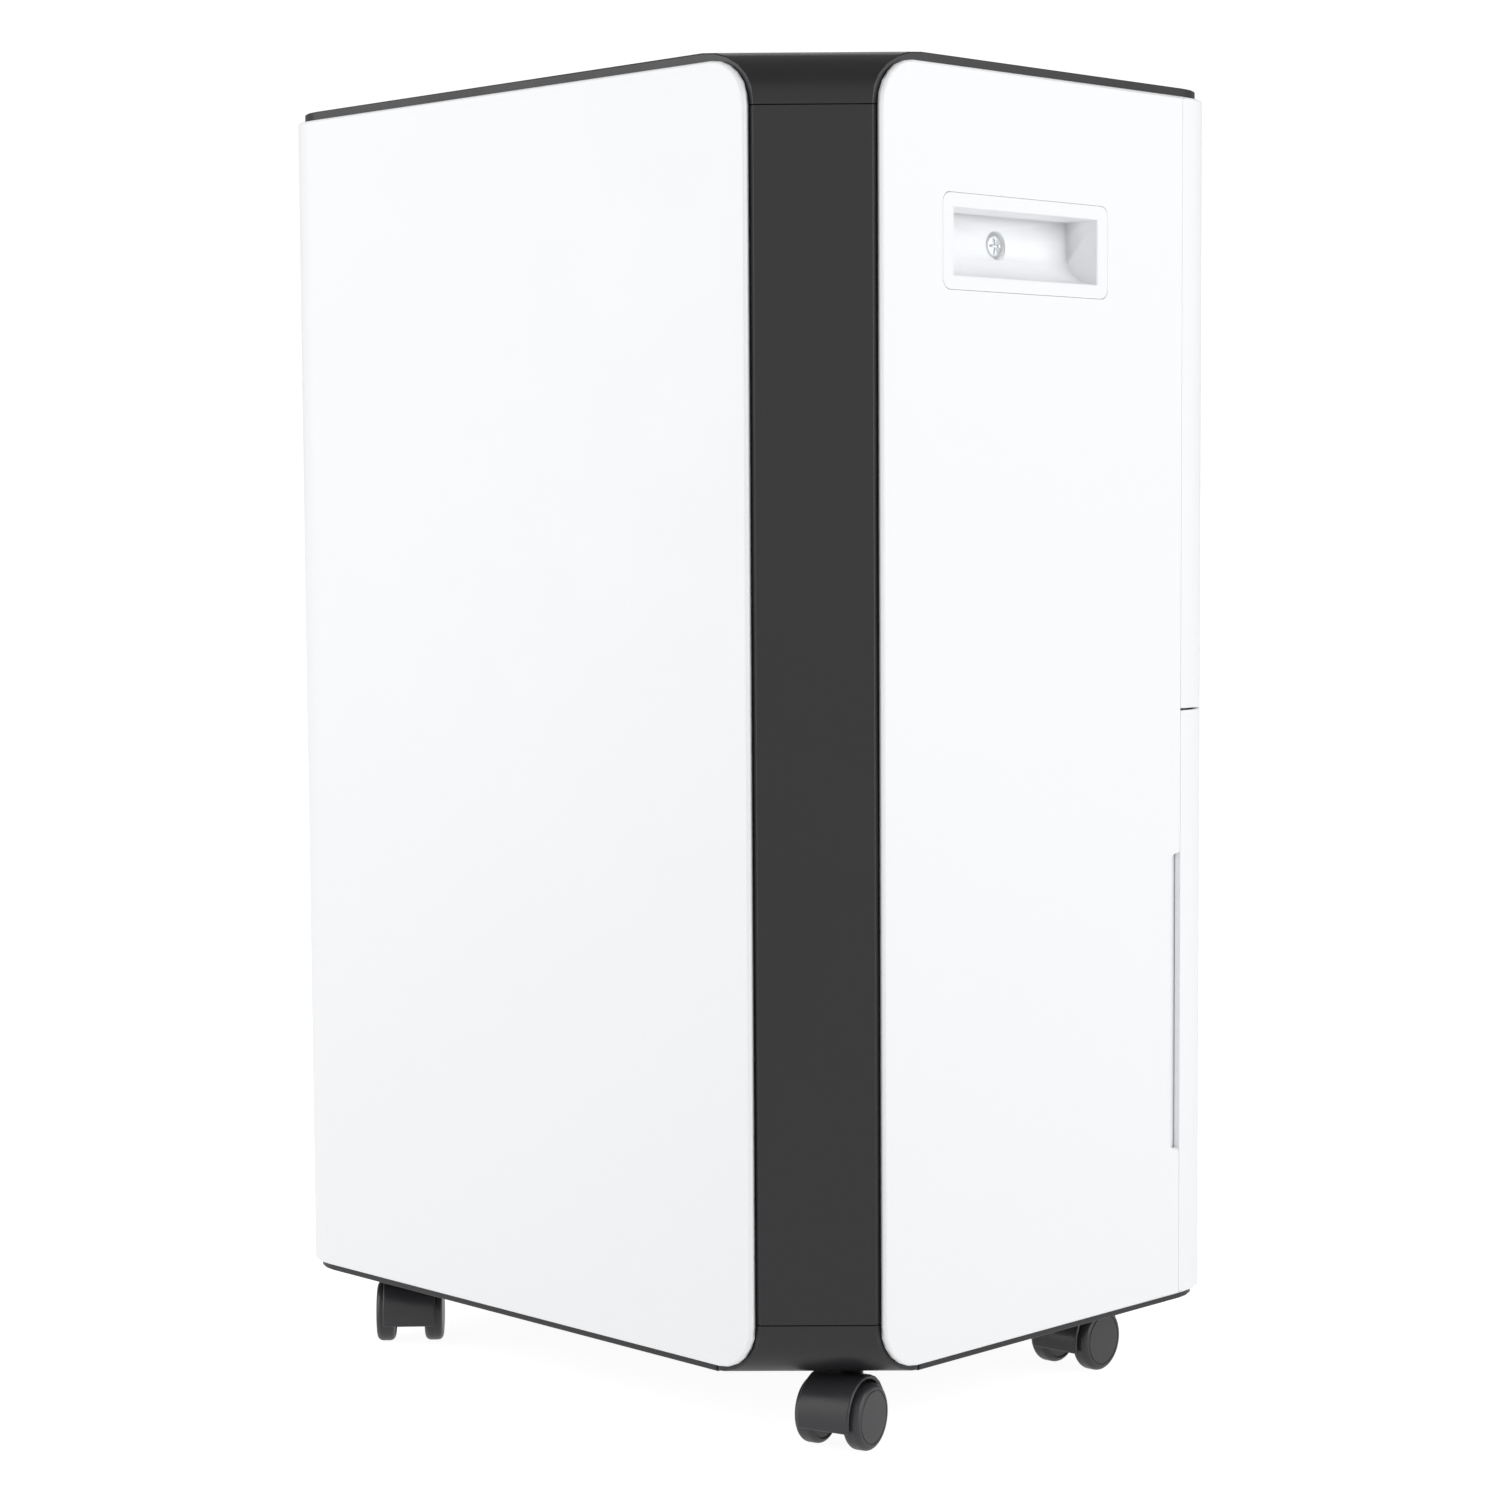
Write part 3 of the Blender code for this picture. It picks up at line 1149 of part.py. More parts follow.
def make_compressor():
    radius, dome, height = COMPRESSOR_RADIUS, COMPRESSOR_DOME, COMPRESSOR_HEIGHT
    lift = FOOT_PLATE - OVERLAP
    profile = [(0, lift + height)]
    profile += [
        (radius * math.sin(angle), lift + height - dome + dome * math.cos(angle))
        for angle in (math.radians(90 * step / 4) for step in range(1, 5))
    ]
    profile += [(radius, lift + dome), (radius * 0.9, lift), (0, lift)]
    base = Matrix.Translation((COMPRESSOR_X, COMPRESSOR_Y, COMPRESSOR_Z))
    body = turned("compressor", profile, base)
    for index, (x, y) in enumerate(foot_places()):
        low_z, high_z = COMPRESSOR_Z, COMPRESSOR_Z + FOOT_PLATE
        pad = cylinder(f"compressor_lug_{index}", FOOT_PLATE_RADIUS, (x, y, low_z), (x, y, high_z), 12)
        arm_x, arm_y = COMPRESSOR_X - x, COMPRESSOR_Y - y
        span = math.hypot(arm_x, arm_y)
        side_x, side_y = -arm_y / span * FOOT_PLATE_RADIUS, arm_x / span * FOOT_PLATE_RADIUS
        outline = [
            (x + side_x * 0.9, y + side_y * 0.9),
            (x - side_x * 0.9, y - side_y * 0.9),
            (COMPRESSOR_X - side_x, COMPRESSOR_Y - side_y),
            (COMPRESSOR_X + side_x, COMPRESSOR_Y + side_y),
        ]
        inset = OVERLAP / 4
        join(body, pad, plate(f"compressor_arm_{index}", outline, low_z + inset, high_z - inset))
    top = COMPRESSOR_Z + lift + height
    ends = ((COMPRESSOR_X, COMPRESSOR_Y, top - OVERLAP), (COMPRESSOR_X, COMPRESSOR_Y, top + STUB_LENGTH))
    join(body, cylinder("discharge_stub", STUB_RADIUS, *ends, steps=12))
    return finish(body, "black_enamel")


def make_compressor_feet():
    low = BASE_Z + BASE_FLOOR + FIT
    profile = [
        (0, FOOT_HEIGHT),
        (FOOT_RADIUS * 0.8, FOOT_HEIGHT),
        (FOOT_RADIUS * 0.8, FOOT_HEIGHT * 0.7),
        (FOOT_RADIUS * 0.65, FOOT_HEIGHT * 0.5),
        (FOOT_RADIUS, FOOT_HEIGHT * 0.25),
        (FOOT_RADIUS, 0),
        (0, 0),
    ]
    for index, (x, y) in enumerate(foot_places()):
        foot = turned(f"compressor_foot_{index + 1}", profile, Matrix.Translation((x, y, low)), steps=12)
        finish(foot, "rubber")


def accumulator_place():
    distance = COMPRESSOR_RADIUS + ACCUMULATOR_RADIUS + FIT
    angle = math.radians(ACCUMULATOR_TURN)
    return COMPRESSOR_X + distance * math.cos(angle), COMPRESSOR_Y + distance * math.sin(angle)


def accumulator_top():
    return COMPRESSOR_Z + ACCUMULATOR_LIFT + ACCUMULATOR_HEIGHT


def make_accumulator():
    x, y = accumulator_place()
    radius, height = ACCUMULATOR_RADIUS, ACCUMULATOR_HEIGHT
    profile = [
        (0, height + STUB_LENGTH),
        (STUB_RADIUS, height + STUB_LENGTH),
        (STUB_RADIUS, height),
        (radius * 0.6, height - radius * 0.3),
        (radius, height - radius),
        (radius, radius),
        (radius * 0.6, radius * 0.3),
        (0, 0),
    ]
    matrix = Matrix.Translation((x, y, COMPRESSOR_Z + ACCUMULATOR_LIFT))
    return finish(turned("suction_accumulator", profile, matrix, steps=16), "black_enamel")


def coil_bend(name, side, y, z):
    """One return bend of a coil, standing out of its end plate."""
    points = []
    steps = 6
    for step in range(steps + 1):
        angle = math.radians(-90 + 180 * step / steps)
        reach = COIL_HALF + BEND_RADIUS * math.cos(angle)
        points.append((side * reach, y, z + BEND_RADIUS * math.sin(angle)))
    first, last = points[0], points[-1]
    inside = side * (COIL_HALF - 2 * OVERLAP)
    points = [(inside, y, first[2])] + points + [(inside, y, last[2])]
    return curve_to_mesh(tube(name, points, BEND_TUBE, 1))


def make_coil(name, y, stubs):
    """A finned coil with its return bends; stubs lists (side, height) of its pipe connections."""
    low = (-COIL_HALF, y - COIL_DEPTH / 2, COIL_Z)
    coil = box(name, low, (COIL_HALF, y + COIL_DEPTH / 2, COIL_Z + COIL_HEIGHT))
    for side in (-1, 1):
        for index in range(BENDS):
            z = COIL_Z + BEND_FIRST + index * BEND_PITCH
            join(coil, coil_bend(f"{name}_bend_{side}_{index}", side, y, z))
    for index, (side, rise) in enumerate(stubs):
        z = COIL_Z + rise
        ends = ((side * (COIL_HALF - OVERLAP), y, z), (side * (COIL_HALF + STUB_LENGTH), y, z))
        join(coil, cylinder(f"{name}_stub_{index}", PIPE_RADIUS, *ends, steps=12))
    return finish(coil, "aluminium_fins")


def make_drip_tray():
    low = (-TRAY_HALF, TRAY_FRONT, TRAY_Z)
    tray = box("drip_tray", low, (TRAY_HALF, TRAY_BACK, TRAY_Z + TRAY_HEIGHT))
    spout = ((0, SPOUT_Y, DECK_LOW_Z - SPOUT_DROP), (0, SPOUT_Y, TRAY_Z + TRAY_WALL / 2))
    join(tray, cylinder("drip_spout", SPOUT_RADIUS, *spout, steps=16))
    hollow_low = (-TRAY_HALF + TRAY_WALL, TRAY_FRONT + TRAY_WALL, TRAY_Z + TRAY_WALL)
    hollow_high = (TRAY_HALF - TRAY_WALL, TRAY_BACK - TRAY_WALL, TRAY_Z + TRAY_HEIGHT + OVERCUT)
    cut(tray, box("tray_hollow", hollow_low, hollow_high))
    bore = ((0, SPOUT_Y, DECK_LOW_Z - SPOUT_DROP - OVERCUT), (0, SPOUT_Y, TRAY_Z + TRAY_HEIGHT))
    cut(tray, cylinder("spout_bore", SPOUT_BORE, *bore, steps=16))
    return finish(tray, "grey_plastic")


def make_pipes():
    stub_x = COIL_HALF + STUB_LENGTH + FIT
    pipe_x = stub_x + 2 * PIPE_BEND - 0.004
    low_stub_z = COIL_Z + STUB_LOW
    discharge_top = COMPRESSOR_Z + FOOT_PLATE - OVERLAP + COMPRESSOR_HEIGHT + STUB_LENGTH + FIT
    crossing_z = discharge_top + 0.020
    discharge = [
        (COMPRESSOR_X, COMPRESSOR_Y, discharge_top),
        (COMPRESSOR_X, COMPRESSOR_Y, crossing_z),
        (-pipe_x, COMPRESSOR_Y, crossing_z),
        (-pipe_x, COMPRESSOR_Y, low_stub_z),
        (-pipe_x, CONDENSER_Y, low_stub_z),
        (-stub_x, CONDENSER_Y, low_stub_z),
    ]
    finish(tube("discharge_pipe", bent_route(discharge, 0.009), PIPE_RADIUS), "copper_tube")
    from_x, from_y = accumulator_place()
    suction_bottom = accumulator_top() + STUB_LENGTH + FIT
    suction_x = -(pipe_x + 3 * PIPE_RADIUS)
    suction_y = from_y - 0.012
    suction_z = crossing_z + 0.018
    suction = [
        (from_x, from_y, suction_bottom),
        (from_x, from_y, suction_z),
        (from_x - 0.040, suction_y, suction_z),
        (suction_x, suction_y, suction_z),
        (suction_x, suction_y, low_stub_z + 0.020),
        (suction_x, EVAPORATOR_Y, low_stub_z + 0.020),
        (suction_x, EVAPORATOR_Y, low_stub_z),
        (-stub_x, EVAPORATOR_Y, low_stub_z),
    ]
    finish(tube("suction_pipe", bent_route(suction, 0.009), PIPE_RADIUS), "copper_tube")
    capillary_x = stub_x + PIPE_BEND
    capillary = [
        (stub_x, CONDENSER_Y, low_stub_z),
        (capillary_x, CONDENSER_Y, low_stub_z),
        (capillary_x, (CONDENSER_Y + EVAPORATOR_Y) / 2, low_stub_z + 0.012),
        (capillary_x, EVAPORATOR_Y, low_stub_z),
        (stub_x, EVAPORATOR_Y, low_stub_z),
    ]
    finish(tube("capillary_tube", bent_route(capillary, 0.006), CAPILLARY_RADIUS, 1), "copper_tube")


# ---------------------------------------------------------------- blower
def scroll_outline(wall, top):
    """Outline of the blower's scroll: from the tongue it widens round the fan and rises to the outlet."""
    steps = 18
    points = []
    for step in range(steps + 1):
        share = step / steps
        angle = math.radians(TONGUE_ANGLE + (360 - TONGUE_ANGLE) * share)
        radius = SCROLL_START + (SCROLL_END - SCROLL_START) * share + wall
        points.append((radius * math.cos(angle), FAN_Z + radius * math.sin(angle)))
    outlet = SCROLL_END + wall
    return points + [(outlet, top), (-outlet, top)]


def make_fan_housing():
    top = outlet_grille_low() - FIT
    housing = plate("fan_housing", scroll_outline(HOUSING_WALL, top), HOUSING_FRONT, HOUSING_BACK, FRONT)
    foot_top = FAN_Z - HOUSING_FOOT_REACH
    for side in (-1, 1):
        low = (side * HOUSING_FOOT_X - EAR_HALF, BAY_FRONT + FRAME_WALL, DECK_TOP_Z + FIT)
        high = (side * HOUSING_FOOT_X + EAR_HALF, HOUSING_BACK - OVERLAP, foot_top)
        join(housing, box(f"housing_foot_{side}", low, high))
    inside = plate(
        "housing_hollow",
        scroll_outline(0, top + OVERCUT),
        HOUSING_FRONT + HOUSING_WALL,
        HOUSING_BACK - HOUSING_WALL,
        FRONT,
    )
    cut(housing, inside)
    inlet = ((0, HOUSING_BACK - OVERCUT / 2, FAN_Z), (0, HOUSING_BACK + OVERCUT, FAN_Z))
    cut(housing, cylinder("housing_inlet", HOUSING_INLET, *inlet))
    shaft = ((0, HOUSING_FRONT - OVERCUT, FAN_Z), (0, HOUSING_FRONT + OVERCUT / 2, FAN_Z))
    cut(housing, cylinder("housing_shaft_hole", FAN_HUB, *shaft, steps=16))
    return finish(housing, "grey_plastic")


def outlet_grille_low():
    return HINGE_Z - LOUVRE_BARREL - VANE_DROP - VANE_HEIGHT


def make_fan_motor():
    """The blower's motor, against the front of the scroll, with a bore for the fan's shaft."""
    back = HOUSING_FRONT - FIT
    profile = [
        (0, 0),
        (MOTOR_RADIUS - MOTOR_EDGE, 0),
        (MOTOR_RADIUS, -MOTOR_EDGE),
        (MOTOR_RADIUS, -MOTOR_LENGTH + MOTOR_EDGE),
        (MOTOR_RADIUS - MOTOR_EDGE, -MOTOR_LENGTH),
        (0, -MOTOR_LENGTH),
    ]
    matrix = Matrix.Translation((0, back, FAN_Z)) @ Matrix.Rotation(math.radians(-90), 4, "X")
    motor = turned("fan_motor", profile, matrix)
    bore = ((0, back - MOTOR_SHAFT_DEPTH - FIT, FAN_Z), (0, back + OVERCUT, FAN_Z))
    cut(motor, cylinder("motor_bore", FAN_SHAFT + SHAFT_FIT, *bore, steps=16))
    return finish(motor, "black_enamel")


def make_fan_wheel():
    """The blower's wheel: a disc with a hub and shaft, a ring of blades, and the ring that ties their far ends."""
    disc = cylinder(
        "fan_wheel",
        FAN_RADIUS,
        (0, FAN_LOW_Y, FAN_Z),
        (0, FAN_LOW_Y + FAN_DISC, FAN_Z),
        FINE_STEPS,
    )
    ring_low = FAN_HIGH_Y - FAN_RING
    ring = cylinder("fan_ring", FAN_RADIUS, (0, ring_low, FAN_Z), (0, FAN_HIGH_Y, FAN_Z), FINE_STEPS)
    eye_radius = FAN_RADIUS - FAN_BLADE_DEPTH
    eye = ((0, ring_low - OVERLAP, FAN_Z), (0, FAN_HIGH_Y + OVERLAP, FAN_Z))
    cut(ring, cylinder("fan_eye", eye_radius, *eye, FINE_STEPS))
    blades = bpy.data.meshes.new("fan_blades")
    work = bmesh.new()
    middle = FAN_RADIUS - FAN_BLADE_DEPTH / 2
    length = FAN_HIGH_Y - FAN_LOW_Y - FAN_DISC
    centre_y = (FAN_HIGH_Y - FAN_RING / 2 + FAN_LOW_Y + FAN_DISC / 2) / 2
    for index in range(FAN_BLADES):
        made = bmesh.ops.create_cube(work, size=1.0)["verts"]
        bmesh.ops.scale(work, vec=(FAN_BLADE_DEPTH * 0.86, length, FAN_BLADE_WALL), verts=made)
        lean = Matrix.Rotation(math.radians(22), 4, "Y")
        spin = Matrix.Rotation(2 * math.pi * index / FAN_BLADES, 4, "Y")
        move = Matrix.Translation((middle, 0, 0))
        bmesh.ops.transform(work, matrix=spin @ move @ lean, verts=made)
    bmesh.ops.translate(work, vec=(0, centre_y, FAN_Z), verts=work.verts)
    work.to_mesh(blades)
    work.free()
    join(disc, place_mesh("fan_blades", blades), ring)
    hub = ((0, FAN_LOW_Y + OVERLAP, FAN_Z), (0, FAN_LOW_Y + FAN_HUB, FAN_Z))
    join(disc, cylinder("fan_hub", FAN_HUB * 0.8, *hub, steps=16))
    shaft_end = HOUSING_FRONT - FIT - MOTOR_SHAFT_DEPTH + FIT
    shaft = ((0, shaft_end, FAN_Z), (0, FAN_LOW_Y + OVERLAP, FAN_Z))
    join(disc, cylinder("fan_shaft", FAN_SHAFT, *shaft, steps=16))
    pivot_at(disc, (0, FAN_LOW_Y, FAN_Z))
    return finish(disc, "grey_plastic")


# ---------------------------------------------------------------- electrics
def make_electrical_box():
    high = (BOX_RIGHT, BAY_FRONT - FIT, BOX_HIGH)
    case = box("electrical_box", (BOX_LEFT, BOX_FRONT, BOX_LOW), high)
    soften(case, BOX_EDGE)
    return finish(case, "grey_plastic")


def make_capacitor():
    x = BOX_LEFT - FIT - CAPACITOR_RADIUS
    y = BAY_FRONT - FIT - CAPACITOR_RADIUS
    can = cylinder("run_capacitor", CAPACITOR_RADIUS, (x, y, CAPACITOR_LOW), (x, y, CAPACITOR_HIGH), 20)
    return finish(can, "zinc_steel")


def make_tank_switch():
    front = BAY_FRONT + FRAME_WALL + FIT
    low = (SWITCH_X - SWITCH_HALF, front, SWITCH_LOW)
    switch = box("tank_switch", low, (SWITCH_X + SWITCH_HALF, front + SWITCH_DEPTH, SWITCH_HIGH))
    return finish(switch, "panel_gloss")


def make_cord_gland():
    """The bush that the mains cord leaves through, in the left side."""
    flange_start = FRAME_INSET + FRAME_WALL + FIT
    profile = [
        (GLAND_BORE, 0),
        (GLAND_RADIUS - 0.0008, 0),
        (GLAND_RADIUS, -0.0008),
        (GLAND_RADIUS, -flange_start),
        (GLAND_FLANGE, -flange_start),
        (GLAND_FLANGE, -flange_start - GLAND_FLANGE_WALL),
        (GLAND_RADIUS, -flange_start - GLAND_FLANGE_WALL),
        (GLAND_RADIUS - 0.001, -GLAND_LENGTH),
        (GLAND_BORE, -GLAND_LENGTH),
        (GLAND_BORE, 0),
    ]
    matrix = Matrix.Translation((-SIDE, GLAND_Y, GLAND_Z)) @ Matrix.Rotation(math.radians(-90), 4, "Y")
    return finish(turned("cord_gland", profile, matrix, steps=20), "rubber")


# ---------------------------------------------------------------- castors
def wheel_profile():
    """From the closed outer face, over the tread, to the blind bore; heights run along the axle."""
    edge, radius, width = WHEEL_EDGE, WHEEL_RADIUS, WHEEL_WIDTH
    face_radius = radius - edge
    return [
        (0, width - WHEEL_GROOVE),
        (face_radius - edge * 0.3, width - WHEEL_GROOVE),
        (face_radius, width),
        (radius - edge * 0.3, width - edge * 0.45),
        (radius, width - edge * 1.3),
        (radius, edge * 0.4),
        (radius - edge * 0.4, 0),
        (WHEEL_BORE, 0),
        (WHEEL_BORE, width - WHEEL_CAP - WHEEL_GROOVE),
        (0, width - WHEEL_CAP - WHEEL_GROOVE),
    ]


def make_castor(name):
    """A twin-wheel castor: its hood with the stem and axle, and two wheels, on an empty at the stem's axis."""
    x, y, turn = castor_place(name)
    pivot = empty_at(f"{name}_castor_pivot", (x, y, BASE_Z), turn)
    centre = (0, -CASTOR_TRAIL, AXLE_Z)
    half, web = HOOD_WIDTH / 2, WHEEL_GAP / 2 - FIT
    hood_name = f"{name}_castor_hood"
    hood = cylinder(hood_name, HOOD_RADIUS, (-half, *centre[1:]), (half, *centre[1:]))
    for side in (-1, 1):
        inner, outer = side * web, side * (half + OVERCUT)
        ends = ((inner, *centre[1:]), (outer, *centre[1:]))
        cut(hood, cylinder(f"{hood_name}_recess_{side}", HOOD_RADIUS - HOOD_WALL, *ends))
    low = (-half - OVERCUT, -CASTOR_TRAIL - 2 * HOOD_RADIUS, -OVERCUT)
    high = (half + OVERCUT, -CASTOR_TRAIL + 2 * HOOD_RADIUS, HOOD_CLEARANCE)
    cut(hood, box(f"{hood_name}_foot_cut", low, high))
    axle_end = WHEEL_GAP / 2 + WHEEL_WIDTH - WHEEL_CAP - WHEEL_GROOVE - FIT
    axle = ((-axle_end, *centre[1:]), (axle_end, *centre[1:]))
    join(hood, cylinder(f"{hood_name}_axle", AXLE_RADIUS, *axle, steps=12))
    stem = ((0, 0, AXLE_Z + HOOD_RADIUS / 3), (0, 0, BASE_Z + STEM_LENGTH))
    collar = ((0, 0, AXLE_Z + HOOD_RADIUS / 3), (0, 0, BASE_Z - COLLAR_GAP))
    join(hood, cylinder(f"{hood_name}_stem", STEM_RADIUS, *stem, steps=16))
    join(hood, cylinder(f"{hood_name}_collar", STEM_COLLAR, *collar, steps=16))
    finish(hood, "castor_nylon")
    hang(hood, pivot)
    for side, word in ((-1, "left"), (1, "right")):
        wheel = turned(f"{name}_castor_{word}_wheel", wheel_profile())
        finish(wheel, "castor_nylon")
        wheel.parent = pivot
        wheel.location = (side * WHEEL_GAP / 2, -CASTOR_TRAIL, AXLE_Z - BASE_Z)
        wheel.rotation_euler = (0, math.radians(90 * side), 0)


def hang(hood, pivot):
    """Parents a hood to its pivot. The hood and its tools are built about the stem's axis, with z from the floor."""
    drop = Matrix.Translation((0, 0, -BASE_Z))
    tools = [modifier.object for modifier in hood.modifiers if modifier.type == "BOOLEAN"]
    for obj in [hood] + tools:
        obj.data.transform(drop)
        obj.parent = pivot


# ---------------------------------------------------------------- the whole object
def main():
    make_base_tray()
    make_corner_cap()
    make_corner_pillar()
    make_top_cover()
    make_front_panel()
    for side in (-1, 1):
        make_side_panel(side)
        make_handle_cup(side)
        make_handle_screw(side)
    make_rear_cover()
    make_chassis()
    make_control_panel()
    make_display_lens()
    make_control_board()
    for index, name in enumerate(BUTTONS):
        make_button(index, name)
    make_louvre()
    make_outlet_grille()
    make_intake_grille()
    make_filter()
    make_tank_front()
    make_tank_body()
    make_tank_lid()
    make_tank_handle()
    make_tank_float()
    make_compressor()
    make_compressor_feet()
    make_accumulator()
    make_coil("condenser", CONDENSER_Y, ((-1, STUB_LOW), (1, STUB_LOW)))
    make_coil("evaporator", EVAPORATOR_Y, ((-1, STUB_LOW), (1, STUB_LOW)))
    make_drip_tray()
    make_pipes()
    make_fan_housing()
    make_fan_motor()
    make_fan_wheel()
    make_electrical_box()
    make_capacitor()
    make_tank_switch()
    make_cord_gland()
    for name in CASTORS:
        make_castor(name)


main()
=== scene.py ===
"""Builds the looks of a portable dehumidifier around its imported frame: white panels, dark frame, castors, tank,
controls, grilles, and a pale studio. It is laid out as an add-on and run as a script."""

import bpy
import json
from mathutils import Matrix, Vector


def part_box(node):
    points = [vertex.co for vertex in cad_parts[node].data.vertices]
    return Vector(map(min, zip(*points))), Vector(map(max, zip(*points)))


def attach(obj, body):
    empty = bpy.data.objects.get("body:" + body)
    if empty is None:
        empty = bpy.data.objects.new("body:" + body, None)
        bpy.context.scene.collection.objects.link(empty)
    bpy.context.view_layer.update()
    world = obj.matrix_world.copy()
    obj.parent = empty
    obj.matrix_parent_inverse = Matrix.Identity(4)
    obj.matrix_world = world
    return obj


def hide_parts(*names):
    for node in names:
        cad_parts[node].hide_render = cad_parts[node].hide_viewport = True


bl_info = {
    "name": "Portable Dehumidifier",
    "version": (1, 0, 0),
    "blender": (4, 5, 0),
    "location": "View3D > Sidebar > Dehumidifier",
    "description": "Adds the visible pieces, finishes and studio of a portable dehumidifier",
    "category": "Add Mesh",
}

import json
import math

import bmesh
import bpy
from bpy.props import FloatProperty, FloatVectorProperty, IntProperty, PointerProperty
from bpy.types import Operator, Panel, PropertyGroup
from mathutils import Matrix, Vector

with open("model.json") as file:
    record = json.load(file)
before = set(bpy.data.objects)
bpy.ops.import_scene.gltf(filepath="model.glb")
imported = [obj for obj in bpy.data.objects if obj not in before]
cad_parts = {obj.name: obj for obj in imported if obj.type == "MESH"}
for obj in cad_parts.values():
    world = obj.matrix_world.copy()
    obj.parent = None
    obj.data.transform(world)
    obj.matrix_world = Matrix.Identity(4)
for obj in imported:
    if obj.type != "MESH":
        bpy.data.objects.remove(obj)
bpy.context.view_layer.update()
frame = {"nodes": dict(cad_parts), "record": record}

MM = 0.001


# ---------------------------------------------------------------- sizes read from the frame
def span(node, axis):
    """Lowest and highest coordinate of a frame node along an axis, 0 to 2."""
    low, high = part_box(node)
    return low[axis], high[axis]


X, Y, Z = 0, 1, 2
SKIN_X = span("right_side_panel", X)[1]
SKIN_Y = span("rear_cover", Y)[1]
SKIN_CORNER = 25 * MM
FRAME_X = span("base_tray", X)[1]
FRAME_Y = span("base_tray", Y)[1]
FRAME_CORNER = SKIN_CORNER - (SKIN_X - FRAME_X)
TANK_SEAM_Z = (span("tank_front", Z)[1] + span("rear_cover", Z)[0]) / 2
SIDE_SEAM_Y = span("right_side_panel", Y)[1]
CHAMFER_REACH = 60 * MM  # how far the chamfered corner's pieces reach along either side
SKIN_PANELS = ("front_panel", "right_side_panel", "left_side_panel", "rear_cover", "tank_front")

# ---------------------------------------------------------------- sizes of the visible pieces alone
SIDE_SEAM_CLOSING = 0.32 * MM  # how far a rear panel's edge moves towards the side panel
HANDLE_RIM_CLOSING = 0.18 * MM  # how far the handle plate's rim moves out
SCOOP_LOW, SCOOP_HIGH = 92.4 * MM, 219.8 * MM
SCOOP_START, SCOOP_END = SIDE_SEAM_Y - 5.4 * MM, 99.8 * MM
SCOOP_INSET = 2.8 * MM  # from the skin to the scoop's shallow end
SCOOP_FALL = 1.2 * MM  # how much deeper its other end is
SCOOP_WALL = 0.9 * MM
SCOOP_STEPS = 12
WHEEL_WIDTH = 7.8 * MM
WHEEL_EDGE = 2.4 * MM
INK_DROP = 0.06 * MM  # how far a printed face is lowered
INK_HEIGHT = -0.03 * MM  # of the print, from the face before it was lowered
INK_WIDTH = 0.45 * MM


# ---------------------------------------------------------------- colours and shader nodes
def linear(code):
    """A six-digit sRGB hex colour as linear red, green, blue and alpha."""
    shares = [int(code[start : start + 2], 16) / 255 for start in (0, 2, 4)]
    return (*[s / 12.92 if s <= 0.04045 else ((s + 0.055) / 1.055) ** 2.4 for s in shares], 1.0)


def add(tree, kind, inputs=None, **settings):
    """Adds one shader node. inputs maps a socket to a value, or to another node's output."""
    made = tree.nodes.new(kind)
    for name, value in settings.items():
        setattr(made, name, value)
    for socket, value in (inputs or {}).items():
        if isinstance(value, bpy.types.NodeSocket):
            tree.links.new(value, made.inputs[socket])
        else:
            made.inputs[socket].default_value = value
    return made


def new_material(name, colour, roughness, **sockets):
    """A Principled material; sockets are further constants, with _ for a space. Returns it, its tree and shader."""
    material = bpy.data.materials.new(name)
    material.use_nodes = True
    shader = material.node_tree.nodes["Principled BSDF"]
    shader.inputs["Base Color"].default_value = colour
    shader.inputs["Roughness"].default_value = roughness
    for socket, value in sockets.items():
        shader.inputs[socket.replace("_", " ")].default_value = value
    material.diffuse_color = colour
    return material, material.node_tree, shader


def moulded(name, colour, roughness, grain, depth, smudge=0.0, tint=None, **sockets):
    """A moulded plastic: grain is the size of its mould texture, smudge how far handling changes its gloss."""
    material, tree, shader = new_material(name, colour, roughness, **sockets)
    place = add(tree, "ShaderNodeTexCoord").outputs["Object"]
    fine = add(tree, "ShaderNodeTexNoise", {"Vector": place, "Scale": 1 / grain, "Detail": 2.0})
    bump = add(
        tree,
        "ShaderNodeBump",
        {"Height": fine.outputs["Fac"], "Strength": depth, "Distance": grain / 4},
    )
    tree.links.new(bump.outputs["Normal"], shader.inputs["Normal"])
    broad = add(tree, "ShaderNodeTexNoise", {"Vector": place, "Scale": 1 / (45 * MM), "Detail": 5.0, "Roughness": 0.6})
    gloss = add(
        tree,
        "ShaderNodeMapRange",
        {
            "Value": broad.outputs["Fac"],
            "From Min": 0.35,
            "From Max": 0.65,
            "To Min": roughness - smudge,
            "To Max": roughness + smudge,
        },
    )
    tree.links.new(gloss.outputs["Result"], shader.inputs["Roughness"])
    if tint:
        mix = add(
            tree,
            "ShaderNodeMix",
            {"Factor": broad.outputs["Fac"], "A": colour, "B": tint},
            data_type="RGBA",
        )
        tree.links.new(mix.outputs[2], shader.inputs["Base Color"])
    return material


# ---------------------------------------------------------------- settings
def colour_setting(name, code, description):
    return FloatVectorProperty(
        name=name, description=description, subtype="COLOR", size=4, min=0.0, max=1.0, default=linear(code)
    )


def size_setting(name, millimetres, description):
    return FloatProperty(name=name, description=description, default=millimetres * MM, min=0.0, unit="LENGTH")


